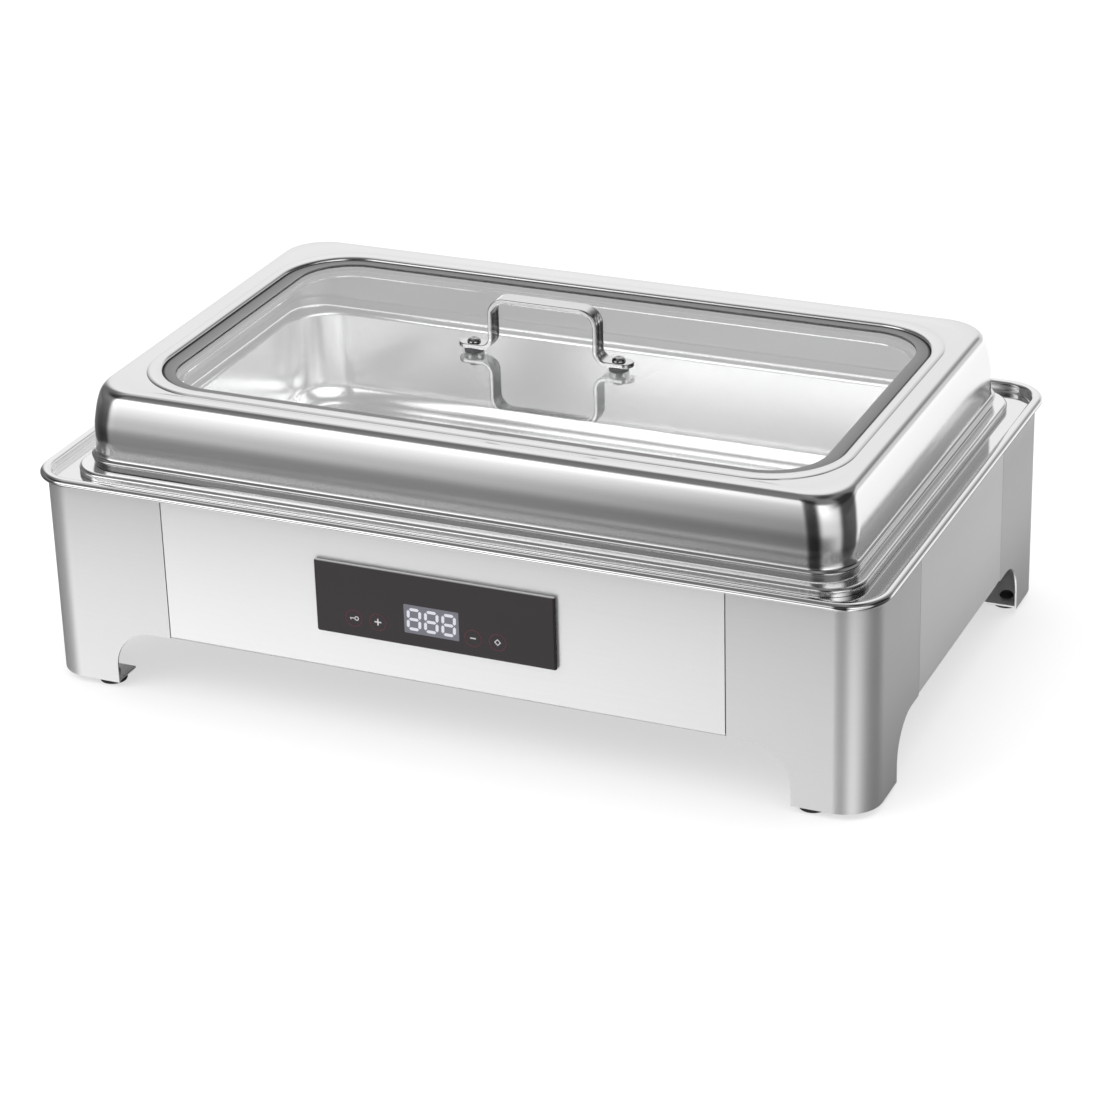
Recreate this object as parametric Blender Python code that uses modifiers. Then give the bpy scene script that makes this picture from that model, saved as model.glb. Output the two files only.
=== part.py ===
"""Electric buffet server: a full-size rectangular chafing dish with a window lid and a touch panel.

Metres, +Z up, on the table at z = 0. The control panel faces -Y and the long side runs along X.
"""

import math

import bmesh
import bpy
from mathutils import Matrix

MM = 0.001
CLEARANCE = 0.3 * MM

# Rounded rectangles are held as half length, half width, corner radius and height.
CORNER_STEPS = 7

# Stand
SKIRT_HALF_X = 280.0 * MM
SKIRT_HALF_Y = 176.6 * MM
SKIRT_CORNER = 24.0 * MM
SKIRT_TOP = 138.9 * MM
SKIRT_SHEET = 1.2 * MM
APRON_BOTTOM = 43.0 * MM
APRON_RETURN = 12.0 * MM
SEAM_X = 189.0 * MM
SEAM_Y = 85.5 * MM
SEAM_GAP = 1.0 * MM
TOE_X = 230.0 * MM
TOE_Y = 126.5 * MM
ARCH_RADIUS = 27.0 * MM
LEG_BOTTOM = 4.0 * MM
SOLE_WIDTH = 22.0 * MM
SOLE_SHEET = 1.5 * MM
SOLE_BOTTOM = LEG_BOTTOM + 0.3 * MM

# Rubber feet, two under each leg
FOOT_RADIUS = 9.0 * MM
FOOT_NECK = 3.5 * MM
FOOT_HOLE = 4.0 * MM
FOOT_ON_LONG_SIDE = (240.6 * MM, 165.8 * MM)
FOOT_ON_SHORT_SIDE = (269.2 * MM, 140.5 * MM)

# Frame under the pan rim
FRAME_OUTER = SKIRT_HALF_X - 1.6 * MM
FRAME_TOP = 137.4 * MM
FRAME_BOTTOM = 124.0 * MM
FRAME_SHEET = 1.2 * MM
FRAME_LEDGE = 15.4 * MM

# Water pan
PAN_SHEET = 0.8 * MM
WATER_ASPECT = SKIRT_HALF_X - SKIRT_HALF_Y
ROLL_CENTRE = 281.1 * MM
ROLL_CORNER = 25.1 * MM
ROLL_HEIGHT = 142.1 * MM
ROLL_HALF_WIDTH = 3.8 * MM
ROLL_HALF_HEIGHT = 2.7 * MM
LEDGE_HEIGHT = 138.5 * MM
WELL_HALF_X = 256.0 * MM
WELL_FLOOR = 66.0 * MM

# Food pan, 1/1 size: 530 x 325 mm over the flange, 65 mm deep
FOOD_HALF_X = 265.0 * MM
FOOD_ASPECT = 102.5 * MM
FOOD_TOP = 143.5 * MM
FOOD_DEPTH = 65.0 * MM

# Lid
LID_SHEET = 0.8 * MM
LID_ASPECT = 101.5 * MM
WINDOW_HALF_X = 229.8 * MM
WINDOW_HALF_Y = 125.4 * MM
WINDOW_CORNER = 46.0 * MM
GASKET_TOP = 193.2 * MM
GASKET_BOTTOM = 187.0 * MM
GASKET_BORDER = 10.3 * MM
GASKET_WEB = 3.5 * MM
GASKET_FLAP = 0.8 * MM
RETAINER_BORDER = 13.0 * MM
RETAINER_FLANGE = 9.5 * MM
RETAINER_WALL = 2.2 * MM
RETAINER_BEND = 0.8 * MM
GLASS_BOTTOM = 188.1 * MM
GLASS_THICKNESS = 4.0 * MM

# Handle
HANDLE_WIDTH = 12.0 * MM
HANDLE_THICKNESS = 3.2 * MM
HANDLE_TOP = 232.6 * MM
HANDLE_LEG = 36.4 * MM
HANDLE_END = 60.5 * MM
HANDLE_BEND = 12.0 * MM
HANDLE_FOOT_BEND = 7.5 * MM
HANDLE_SCREW_X = 50.5 * MM
SPACER_HEIGHT = 3.0 * MM

# Control panel
CONTROL_HALF_X = 81.0 * MM
CONTROL_HALF_Z = 24.7 * MM
CONTROL_HEIGHT = 93.9 * MM
CONTROL_GLASS = 2.7 * MM
KEY_X = (-54.9 * MM, -38.4 * MM, 26.0 * MM, 42.4 * MM)
KEY_HEIGHT = 82.0 * MM
DISPLAY_X = -1.8 * MM
DISPLAY_HEIGHT = 88.0 * MM

# Power inlet in the back apron
INLET_X = -150.0 * MM
INLET_HEIGHT = 88.0 * MM
INLET_SCREW_SPACING = 20.0 * MM

# Underside
COVER_BOTTOM = APRON_BOTTOM + SKIRT_SHEET + CLEARANCE
COVER_SHEET = 1.0 * MM
COVER_SCREW_INSET = 8.0 * MM

FINISHES = {
    "brushed_steel": ((0.62, 0.62, 0.61), 0.32, 1.0),
    "polished_steel": ((0.75, 0.75, 0.75), 0.12, 1.0),
    "chrome": ((0.85, 0.85, 0.86), 0.05, 1.0),
    "aluminium": ((0.70, 0.71, 0.72), 0.40, 1.0),
    "dark_steel": ((0.10, 0.10, 0.10), 0.55, 1.0),
    "dark_glass": ((0.02, 0.018, 0.018), 0.05, 0.0),
    "clear_glass": ((0.80, 0.86, 0.84), 0.03, 0.0),
    "silicone": ((0.22, 0.22, 0.23), 0.60, 0.0),
    "rubber": ((0.02, 0.02, 0.02), 0.80, 0.0),
    "black_plastic": ((0.03, 0.03, 0.03), 0.50, 0.0),
    "circuit_board": ((0.03, 0.16, 0.07), 0.45, 0.0),
    "mineral_wool": ((0.80, 0.76, 0.62), 0.95, 0.0),
}


def clear_scene():
    for obj in list(bpy.data.objects):
        bpy.data.objects.remove(obj, do_unlink=True)


def new_collection(name):
    made = bpy.data.collections.new(name)
    bpy.context.scene.collection.children.link(made)
    return made


clear_scene()
PARTS = new_collection("electric_buffet_server")
CUTTERS = new_collection("cutters")


def add_object(name, data, finish):
    """A part when it has a finish, and otherwise a helper for a Boolean."""
    obj = bpy.data.objects.new(name, data)
    if finish is None:
        CUTTERS.objects.link(obj)
        obj.hide_render = True
        obj.display_type = "WIRE"
        return obj
    PARTS.objects.link(obj)
    colour, roughness, metallic = FINISHES[finish]
    material = bpy.data.materials.new(name + "_" + finish)
    material.use_nodes = True
    shader = material.node_tree.nodes["Principled BSDF"]
    shader.inputs["Base Color"].default_value = (*colour, 1.0)
    shader.inputs["Roughness"].default_value = roughness
    shader.inputs["Metallic"].default_value = metallic
    obj.data.materials.append(material)
    return obj


def mesh_object(name, bm, finish):
    mesh = bpy.data.meshes.new(name)
    bm.to_mesh(mesh)
    bm.free()
    return add_object(name, mesh, finish)


def shaded_round(obj):
    """Smooth shading that keeps edges sharper than 35 degrees."""
    obj.data.shade_smooth()
    obj.data.set_sharp_from_angle(angle=math.radians(35.0))
    return obj


def block(name, size, centre, finish=None):
    bm = bmesh.new()
    place = Matrix.Translation(centre) @ Matrix.Diagonal((*size, 1.0))
    bmesh.ops.create_cube(bm, size=1.0, matrix=place)
    return mesh_object(name, bm, finish)


def rod(name, radius, length, centre, axis="Z", sides=16, finish=None):
    turns = {
        "X": Matrix.Rotation(math.pi / 2, 4, "Y"),
        "Y": Matrix.Rotation(math.pi / 2, 4, "X"),
        "Z": Matrix.Identity(4),
    }
    bm = bmesh.new()
    bmesh.ops.create_cone(
        bm,
        cap_ends=True,
        segments=sides,
        radius1=radius,
        radius2=radius,
        depth=length,
        matrix=Matrix.Translation(centre) @ turns[axis],
    )
    return shaded_round(mesh_object(name, bm, finish))


def boolean(target, other, operation):
    modifier = target.modifiers.new(operation.lower(), "BOOLEAN")
    modifier.operation = operation
    modifier.solver = "EXACT"
    modifier.object = other


def cut(target, *cutters):
    for cutter in cutters:
        boolean(target, cutter, "DIFFERENCE")


def join(target, *helpers):
    for helper in helpers:
        boolean(target, helper, "UNION")


def evaluated_mesh(obj):
    """The shape of the object with its modifiers, in world coordinates."""
    bpy.context.view_layer.update()
    graph = bpy.context.evaluated_depsgraph_get()
    mesh = bpy.data.meshes.new_from_object(obj.evaluated_get(graph))
    mesh.transform(obj.matrix_world)
    bm = bmesh.new()
    bm.from_mesh(mesh)
    bmesh.ops.remove_doubles(bm, verts=bm.verts, dist=1e-6)
    bmesh.ops.recalc_face_normals(bm, faces=bm.faces)
    bm.to_mesh(mesh)
    bm.free()
    return mesh


def baked(obj, finish=None):
    """The same shape as a plain mesh object, so that it can be cut, joined or used as a cutter."""
    mesh = evaluated_mesh(obj)
    name = obj.name
    bpy.data.objects.remove(obj, do_unlink=True)
    mesh.materials.clear()
    return shaded_round(add_object(name, mesh, finish))


def mirrored(obj, name, finish, flip_x, flip_y):
    mesh = evaluated_mesh(obj)
    mesh.materials.clear()
    mesh.transform(Matrix.Diagonal((flip_x, flip_y, 1.0, 1.0)))
    if flip_x * flip_y < 0:
        mesh.flip_normals()
    return shaded_round(add_object(name, mesh, finish))


def arc(centre_x, centre_y, radius, start, end, steps):
    """Points on an arc from one angle to another, in degrees."""
    points = []
    for step in range(steps + 1):
        angle = math.radians(start + (end - start) * step / steps)
        points.append((centre_x + radius * math.cos(angle), centre_y + radius * math.sin(angle)))
    return points


def circle(centre_x, centre_y, radius, sides=16):
    return arc(centre_x, centre_y, radius, 0.0, 360.0, sides)[:-1]


def rounded_rectangle(half_x, half_y, radius, steps=CORNER_STEPS, centre=(0.0, 0.0)):
    """Anticlockwise points, the same number for every size."""
    corners = ((1, 1, 0.0), (-1, 1, 90.0), (-1, -1, 180.0), (1, -1, 270.0))
    points = []
    for sign_x, sign_y, start in corners:
        corner_x = centre[0] + sign_x * (half_x - radius)
        corner_y = centre[1] + sign_y * (half_y - radius)
        points += arc(corner_x, corner_y, radius, start, start + 90.0, steps)
    return points


def prism(name, loops, depth, finish=None, facing="Z", at=(0.0, 0.0, 0.0), edge=0.0):
    """A flat outline with holes, given depth on both sides of `at` and rounded along its edges.

    Facing Z, the outline is x and y. Facing Y it is x and z. Facing X it is y and z.
    """
    curve = bpy.data.curves.new(name, "CURVE")
    curve.dimensions = "2D"
    curve.fill_mode = "BOTH"
    curve.extrude = depth / 2 - edge
    curve.bevel_depth = edge
    curve.bevel_resolution = 1
    curve.offset = -edge
    for loop in loops:
        spline = curve.splines.new("POLY")
        spline.points.add(len(loop) - 1)
        for point, (x, y) in zip(spline.points, loop):
            point.co = (x, y, 0.0, 1.0)
        spline.use_cyclic_u = True
    obj = add_object(name, curve, finish)
    turns = {
        "X": (math.pi / 2, 0.0, math.pi / 2),
        "Y": (math.pi / 2, 0.0, 0.0),
        "Z": (0.0, 0.0, 0.0),
    }
    obj.rotation_euler = turns[facing]
    obj.location = at
    return obj


def solid_prism(name, loops, depth, finish=None, facing="Z", at=(0.0, 0.0, 0.0)):
    return baked(prism(name, loops, depth, None, facing, at), finish)


def loft(sections, ring_closes, floor):
    """A skin through rounded rectangles (half_x, half_y, radius, z), outermost first."""
    bm = bmesh.new()
    rings = []
    for half_x, half_y, radius, z in sections:
        points = rounded_rectangle(half_x, half_y, radius)
        rings.append([bm.verts.new((x, y, z)) for x, y in points])
    pairs = list(zip(rings, rings[1:]))
    if ring_closes:
        pairs.append((rings[-1], rings[0]))
    for lower, upper in pairs:
        for i in range(len(lower)):
            j = (i + 1) % len(lower)
            bm.faces.new((lower[i], lower[j], upper[j], upper[i]))
    if floor:
        bm.faces.new(rings[-1])
    return bm


def sheet(name, sections, thickness, finish, floor=False):
    """Formed sheet metal: the skin is its visible side and the thickness lies behind it."""
    obj = mesh_object(name, loft(sections, False, floor), finish)
    shell = obj.modifiers.new("sheet", "SOLIDIFY")
    shell.thickness = thickness
    shell.offset = -1.0
    shell.use_even_offset = True
    shell.use_quality_normals = True
    return shaded_round(obj)


def ring(name, sections, finish):
    """A solid ring whose section is a closed loop of rounded rectangles."""
    bm = loft(sections, True, False)
    bmesh.ops.recalc_face_normals(bm, faces=bm.faces)
    return shaded_round(mesh_object(name, bm, finish))


def turned(name, profile, finish, at, steps=16):
    """A turned piece. The profile (radius, height) runs down its outer side."""
    bm = bmesh.new()
    points = [bm.verts.new((radius, 0.0, height)) for radius, height in profile]
    for upper, lower in zip(points, points[1:]):
        bm.edges.new((upper, lower))
    obj = mesh_object(name, bm, finish)
    spin = obj.modifiers.new("turn", "SCREW")
    spin.steps = steps
    spin.render_steps = steps
    spin.use_merge_vertices = True
    spin.merge_threshold = 1e-5
    obj.location = at
    return obj


def filleted(points, radius, steps=4):
    """The points of a bent wire, with each inner corner rounded."""
    path = [points[0]]
    for before, corner, after in zip(points, points[1:], points[2:]):
        into = [b - c for b, c in zip(before, corner)]
        out = [a - c for a, c in zip(after, corner)]
        into_length = math.hypot(*into)
        out_length = math.hypot(*out)
        start = [c + i / into_length * radius for c, i in zip(corner, into)]
        end = [c + o / out_length * radius for c, o in zip(corner, out)]
        for step in range(steps + 1):
            t = step / steps
            path.append(
                [
                    s * (1 - t) ** 2 + c * 2 * t * (1 - t) + e * t**2
                    for s, c, e in zip(start, corner, end)
                ]
            )
    path.append(points[-1])
    return path


def wire(name, path, radius, finish, thick_until=0, thick=1.0):
    """A tube along a path. Its first points can be thicker, as on a probe."""
    curve = bpy.data.curves.new(name, "CURVE")
    curve.dimensions = "3D"
    curve.bevel_depth = radius
    curve.bevel_resolution = 1
    curve.use_fill_caps = True
    spline = curve.splines.new("POLY")
    spline.points.add(len(path) - 1)
    for index, (point, place) in enumerate(zip(spline.points, path)):
        point.co = (*place, 1.0)
        point.radius = thick if index < thick_until else 1.0
    return add_object(name, curve, finish)


def bend(half_x, corner, z, width, height, start, end, steps):
    """A formed bend: half lengths, corner radii and heights along an elliptical arc."""
    points = []
    for step in range(steps + 1):
        angle = math.radians(start + (end - start) * step / steps)
        outward = width * math.cos(angle)
        points.append((half_x + outward, corner + outward, z + height * math.sin(angle)))
    return points


def sections_of(profile, aspect):
    """Profile points (half_x, corner, z) as sections whose half width is half_x less the aspect."""
    return [(half_x, half_x - aspect, corner, z) for half_x, corner, z in profile]


# ---------------------------------------------------------------- stand


def leg_walls():
    """The two arms of a leg in plan, meeting in a rounded corner."""
    centre_x = SKIRT_HALF_X - SKIRT_CORNER
    centre_y = SKIRT_HALF_Y - SKIRT_CORNER
    start_x = SEAM_X + SEAM_GAP / 2
    start_y = SEAM_Y + SEAM_GAP / 2
    inner_x = SKIRT_HALF_X - SKIRT_SHEET
    inner_y = SKIRT_HALF_Y - SKIRT_SHEET
    outer = arc(centre_x, centre_y, SKIRT_CORNER, 0.0, 90.0, CORNER_STEPS)
    inner = arc(centre_x, centre_y, SKIRT_CORNER - SKIRT_SHEET, 90.0, 0.0, CORNER_STEPS)
    return (
        [(SKIRT_HALF_X, start_y)]
        + outer
        + [(start_x, SKIRT_HALF_Y), (start_x, inner_y)]
        + inner
        + [(inner_x, start_y)]
    )


def leg_sole():
    """The turned-in foot flange of a leg in plan, reaching half way into the walls."""
    half_sheet = SKIRT_SHEET / 2
    outer_x = SKIRT_HALF_X - half_sheet
    outer_y = SKIRT_HALF_Y - half_sheet
    inner_x = SKIRT_HALF_X - SOLE_WIDTH
    inner_y = SKIRT_HALF_Y - SOLE_WIDTH
    radius = SKIRT_CORNER - half_sheet
    corner = arc(outer_x - radius, outer_y - radius, radius, 0.0, 90.0, CORNER_STEPS)
    start_x = TOE_X + CLEARANCE
    start_y = TOE_Y + CLEARANCE
    return (
        [(outer_x, start_y)]
        + corner
        + [(start_x, outer_y), (start_x, inner_y), (inner_x, inner_y), (inner_x, start_y)]
    )


def arch_outline(seam, toe):
    """What is cut away beside the toe of a leg, below the apron line."""
    below = -5.0 * MM
    beyond = seam - 5.0 * MM
    corner = arc(toe - ARCH_RADIUS, APRON_BOTTOM - ARCH_RADIUS, ARCH_RADIUS, 0.0, 90.0, 10)
    return [(beyond, below), (toe, below)] + corner + [(beyond, APRON_BOTTOM)]


def build_legs():
    height = SKIRT_TOP - LEG_BOTTOM
    middle = (SKIRT_TOP + LEG_BOTTOM) / 2
    leg = solid_prism(
        "leg_back_right", [leg_walls()], height, "brushed_steel", at=(0.0, 0.0, middle)
    )
    arch_depth = 12.0 * MM
    cut(
        leg,
        solid_prism(
            "arch_long_side",
            [arch_outline(SEAM_X, TOE_X)],
            arch_depth,
            facing="Y",
            at=(0.0, SKIRT_HALF_Y, 0.0),
        ),
        solid_prism(
            "arch_short_side",
            [arch_outline(SEAM_Y, TOE_Y)],
            arch_depth,
            facing="X",
            at=(SKIRT_HALF_X, 0.0, 0.0),
        ),
    )
    holes = [circle(*FOOT_ON_LONG_SIDE, FOOT_HOLE), circle(*FOOT_ON_SHORT_SIDE, FOOT_HOLE)]
    sole_middle = SOLE_BOTTOM + SOLE_SHEET / 2
    join(leg, solid_prism("sole", [leg_sole(), *holes], SOLE_SHEET, at=(0.0, 0.0, sole_middle)))
    mirrored(leg, "leg_back_left", "brushed_steel", -1, 1)
    mirrored(leg, "leg_front_right", "brushed_steel", 1, -1)
    mirrored(leg, "leg_front_left", "brushed_steel", -1, -1)


def build_feet():
    neck_top = SOLE_BOTTOM + SOLE_SHEET + CLEARANCE
    profile = [
        (0.0, neck_top + 2.6 * MM),
        (2.6 * MM, neck_top + 2.6 * MM),
        (4.6 * MM, neck_top + 0.6 * MM),
        (4.6 * MM, neck_top),
        (FOOT_NECK, neck_top),
        (FOOT_NECK, LEG_BOTTOM),
        (FOOT_RADIUS, LEG_BOTTOM),
        (FOOT_RADIUS, 0.8 * MM),
        (FOOT_RADIUS - 0.8 * MM, 0.0),
        (0.0, 0.0),
    ]
    spots = {"long": FOOT_ON_LONG_SIDE, "short": FOOT_ON_SHORT_SIDE}
    for end, sign_y in (("front", -1), ("back", 1)):
        for side, sign_x in (("left", -1), ("right", 1)):
            for edge, (x, y) in spots.items():
                name = f"foot_{end}_{side}_{edge}"
                turned(name, profile, "rubber", (sign_x * x, sign_y * y, 0.0))


def apron_outline(face):
    """An apron in section: its wall at `face` and the return along the bottom, drawn for +face."""
    inner = face - SKIRT_SHEET
    fold = 2.0 * MM
    foot = APRON_BOTTOM + SKIRT_SHEET
    outer_fold = arc(face - fold, APRON_BOTTOM + fold, fold, -90.0, 0.0, 4)
    inner_fold = arc(inner - fold / 2, foot + fold / 2, fold / 2, 0.0, -90.0, 3)
    return (
        [(face - APRON_RETURN, APRON_BOTTOM)]
        + outer_fold
        + [(face, SKIRT_TOP), (inner, SKIRT_TOP)]
        + inner_fold
        + [(face - APRON_RETURN, foot)]
    )


def cover_screw_spots():
    """Each cover screw's name, x and y, through the returns of the four aprons."""
    far_x = 120.0 * MM
    line_x = SKIRT_HALF_X - COVER_SCREW_INSET
    line_y = SKIRT_HALF_Y - COVER_SCREW_INSET
    return [
        ("cover_screw_front_left", -far_x, -line_y),
        ("cover_screw_front_right", far_x, -line_y),
        ("cover_screw_back_left", -far_x, line_y),
        ("cover_screw_back_right", far_x, line_y),
        ("cover_screw_left", -line_x, 0.0),
        ("cover_screw_right", line_x, 0.0),
    ]


def build_aprons():
    long_side = 2 * SEAM_X - SEAM_GAP
    short_side = 2 * SEAM_Y - SEAM_GAP
    section_long = apron_outline(SKIRT_HALF_Y)
    section_short = apron_outline(SKIRT_HALF_X)
    flipped_long = [(-y, z) for y, z in reversed(section_long)]
    flipped_short = [(-x, z) for x, z in reversed(section_short)]
    aprons = {
        "front": solid_prism("apron_front", [flipped_long], long_side, "brushed_steel", "X"),
        "back": solid_prism("apron_back", [section_long], long_side, "brushed_steel", "X"),
        "left": solid_prism("apron_left", [flipped_short], short_side, "brushed_steel", "Y"),
        "right": solid_prism("apron_right", [section_short], short_side, "brushed_steel", "Y"),
    }
    screw_hole = 2.3 * MM
    for name, x, y in cover_screw_spots():
        side = name.split("_")[2]
        hole = rod(name + "_hole", screw_hole, 8.0 * MM, (x, y, APRON_BOTTOM))
        cut(aprons[side], hole)
    opening = block(
        "control_opening",
        (144.0 * MM, 20.0 * MM, 35.0 * MM),
        (0.0, -SKIRT_HALF_Y, CONTROL_HEIGHT),
    )
    cut(aprons["front"], opening)
    inlet_opening = block(
        "inlet_opening",
        (29.0 * MM, 20.0 * MM, 21.0 * MM),
        (INLET_X, SKIRT_HALF_Y, INLET_HEIGHT),
    )
    cut(aprons["back"], inlet_opening)
    for sign in (-1, 1):
        hole = rod(
            f"inlet_screw_hole_{sign}",
            1.9 * MM,
            20.0 * MM,
            (INLET_X + sign * INLET_SCREW_SPACING, SKIRT_HALF_Y, INLET_HEIGHT),
            "Y",
        )
        cut(aprons["back"], hole)


def build_frame():
    """An angle ring inside the aprons: it ties the stand together and carries the pan ledge."""
    outer = (FRAME_OUTER, SKIRT_CORNER - 1.6 * MM)
    inner = (FRAME_OUTER - FRAME_SHEET, outer[1] - FRAME_SHEET)
    ledge = (FRAME_OUTER - FRAME_LEDGE, 14.0 * MM)
    under = FRAME_TOP - FRAME_SHEET
    profile = [
        (*outer, FRAME_BOTTOM),
        (*outer, FRAME_TOP),
        (*ledge, FRAME_TOP),
        (*ledge, under),
        (*inner, under),
        (*inner, FRAME_BOTTOM),
    ]
    ring("top_frame", sections_of(profile, WATER_ASPECT), "brushed_steel")


def build_cover():
    outline = rounded_rectangle(
        SKIRT_HALF_X - 2.1 * MM, SKIRT_HALF_Y - 2.1 * MM, SKIRT_CORNER - 2.1 * MM
    )
    holes = [circle(x, y, 2.3 * MM) for _, x, y in cover_screw_spots()]
    vents = []
    for column in (-2, -1, 0, 1, 2):
        for sign in (-1, 1):
            centre = (column * 40.0 * MM, sign * 130.0 * MM)
            vents.append(rounded_rectangle(12.0 * MM, 2.0 * MM, 1.9 * MM, 3, centre))
    middle = COVER_BOTTOM + COVER_SHEET / 2
    prism("bottom_cover", [outline, *holes, *vents], COVER_SHEET, "dark_steel", at=(0, 0, middle))
    head_top = APRON_BOTTOM - CLEARANCE
    profile = [
        (0.0, head_top + 7.0 * MM),
        (1.2 * MM, head_top + 7.0 * MM),
        (1.8 * MM, head_top + 6.0 * MM),
        (1.8 * MM, head_top),
        (3.8 * MM, head_top),
        (3.6 * MM, head_top - 1.4 * MM),
        (2.2 * MM, head_top - 2.3 * MM),
        (0.0, head_top - 2.5 * MM),
    ]
    for name, x, y in cover_screw_spots():
        turned(name, profile, "polished_steel", (x, y, 0.0), 12)


# ---------------------------------------------------------------- pans


def build_water_pan():
    roll = bend(
        ROLL_CENTRE, ROLL_CORNER, ROLL_HEIGHT, ROLL_HALF_WIDTH, ROLL_HALF_HEIGHT, -100, 180, 10
    )
    inner = ROLL_CENTRE - ROLL_HALF_WIDTH
    inner_corner = ROLL_CORNER - ROLL_HALF_WIDTH
    fillet = 1.0 * MM
    riser = [
        (inner, inner_corner, LEDGE_HEIGHT + fillet),
        (inner - fillet, inner_corner - fillet, LEDGE_HEIGHT),
    ]
    shoulder = 4.0 * MM
    shoulder_bend = bend(
        WELL_HALF_X + shoulder,
        34.0 * MM,
        LEDGE_HEIGHT - shoulder,
        shoulder,
        shoulder,
        90,
        180,
        3,
    )
    floor_bend = 12.0 * MM
    taper = 1.0 * MM
    well_bend = bend(
        WELL_HALF_X - taper - floor_bend,
        18.0 * MM,
        WELL_FLOOR + floor_bend,
        floor_bend,
        floor_bend,
        0,
        -90,
        4,
    )
    profile = roll + riser + shoulder_bend + well_bend
    sheet("water_pan", sections_of(profile, WATER_ASPECT), PAN_SHEET, "polished_steel", True)


def build_food_pan():
    corner = 24.0 * MM
    turn = 2.5 * MM
    edge_bottom = FOOD_TOP - 4.0 * MM
    edge = [(FOOD_HALF_X, corner, edge_bottom)]
    edge += bend(FOOD_HALF_X - turn, corner - turn, FOOD_TOP - turn, turn, turn, 0, 90, 3)
    lip = 3.0 * MM
    opening = 250.0 * MM
    lip_bend = bend(opening + lip, 38.0 * MM, FOOD_TOP - lip, lip, lip, 90, 180, 3)
    floor_bend = 14.0 * MM
    taper = 2.5 * MM
    floor = bend(
        opening - taper - floor_bend,
        20.0 * MM,
        FOOD_TOP - FOOD_DEPTH + floor_bend,
        floor_bend,
        floor_bend,
        0,
        -90,
        4,
    )
    profile = edge + lip_bend + floor
    sheet("food_pan", sections_of(profile, FOOD_ASPECT), PAN_SHEET, "brushed_steel", True)


# ---------------------------------------------------------------- lid


def lid_profile():
    """Half length, corner radius and height up the lid, from the flange edge to its flat top."""
    in_mm = [
        (257.1, 23.6, 143.9),
        (257.4, 23.7, 144.3),
        (257.9, 24.0, 146.9),
        (258.4, 24.2, 149.1),
        (258.2, 24.2, 150.0),
        (257.6, 24.2, 150.5),
        (256.9, 24.3, 151.1),
        (256.5, 24.5, 152.3),
        (256.3, 24.8, 154.9),
        (256.4, 25.2, 164.9),
        (256.2, 25.4, 170.9),
        (255.5, 25.6, 176.9),
        (254.6, 25.8, 182.9),
        (253.5, 26.0, 187.9),
        (252.4, 26.2, 191.3),
        (251.0, 26.6, 193.7),
        (249.0, 27.4, 195.3),
        (246.4, 29.0, 195.9),
        (243.4, 31.5, 195.8),
        (240.4, 34.5, 195.2),
    ]
    return [(half * MM, corner * MM, z * MM) for half, corner, z in in_mm]


def window_lip():
    """The raised bead around the window: half length, half width, corner radius and height."""
    in_mm = [
        (238.0, 136.7, 51.0, 194.7),
        (236.9, 135.5, 50.3, 195.2),
        (235.0, 133.4, 49.3, 195.8),
        (232.4, 129.4, 47.4, 195.7),
        (230.5, 126.3, 46.3, 194.8),
        (229.8, 125.4, 46.0, 193.4),
        (229.8, 125.4, 46.0, 190.8),
    ]
    return [tuple(value * MM for value in section) for section in in_mm]


def window_section(inset, z):
    """The window outline moved inwards."""
    return (WINDOW_HALF_X - inset, WINDOW_HALF_Y - inset, WINDOW_CORNER - inset, z)


def build_lid():
    sections = sections_of(lid_profile(), LID_ASPECT) + window_lip()
    sheet("lid_shell", sections, LID_SHEET, "brushed_steel")
    outer = CLEARANCE
    web = outer + GASKET_WEB
    inner = GASKET_BORDER
    soften = 0.5 * MM
    gasket = [
        window_section(outer, GASKET_BOTTOM),
        window_section(outer, GASKET_TOP - soften),
        window_section(outer + soften, GASKET_TOP),
        window_section(inner - soften, GASKET_TOP),
        window_section(inner, GASKET_TOP - soften),
        window_section(inner, GASKET_TOP - GASKET_FLAP),
        window_section(web, GASKET_TOP - GASKET_FLAP),
        window_section(web, GASKET_BOTTOM + GASKET_FLAP),
        window_section(inner, GASKET_BOTTOM + GASKET_FLAP),
        window_section(inner, GASKET_BOTTOM),
    ]
    ring("window_gasket", gasket, "silicone")
    glass_inset = web + CLEARANCE
    outline = rounded_rectangle(
        WINDOW_HALF_X - glass_inset, WINDOW_HALF_Y - glass_inset, WINDOW_CORNER - glass_inset
    )
    holes = [circle(sign * HANDLE_SCREW_X, 0.0, 3.5 * MM) for sign in (-1, 1)]
    glass_middle = GLASS_BOTTOM + GLASS_THICKNESS / 2
    prism(
        "window_glass",
        [outline, *holes],
        GLASS_THICKNESS,
        "clear_glass",
        at=(0, 0, glass_middle),
    )
    seat = GASKET_BOTTOM - CLEARANCE
    flange = GASKET_TOP - CLEARANCE
    retainer = [
        window_section(-RETAINER_FLANGE, flange),
        window_section(-RETAINER_WALL - RETAINER_BEND, flange),
        window_section(-RETAINER_WALL, flange - RETAINER_BEND),
        window_section(-RETAINER_WALL, seat + RETAINER_BEND),
        window_section(-RETAINER_WALL + RETAINER_BEND, seat),
        window_section(RETAINER_BORDER, seat),
    ]
    sheet("glass_retainer", retainer, LID_SHEET, "polished_steel")


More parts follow.
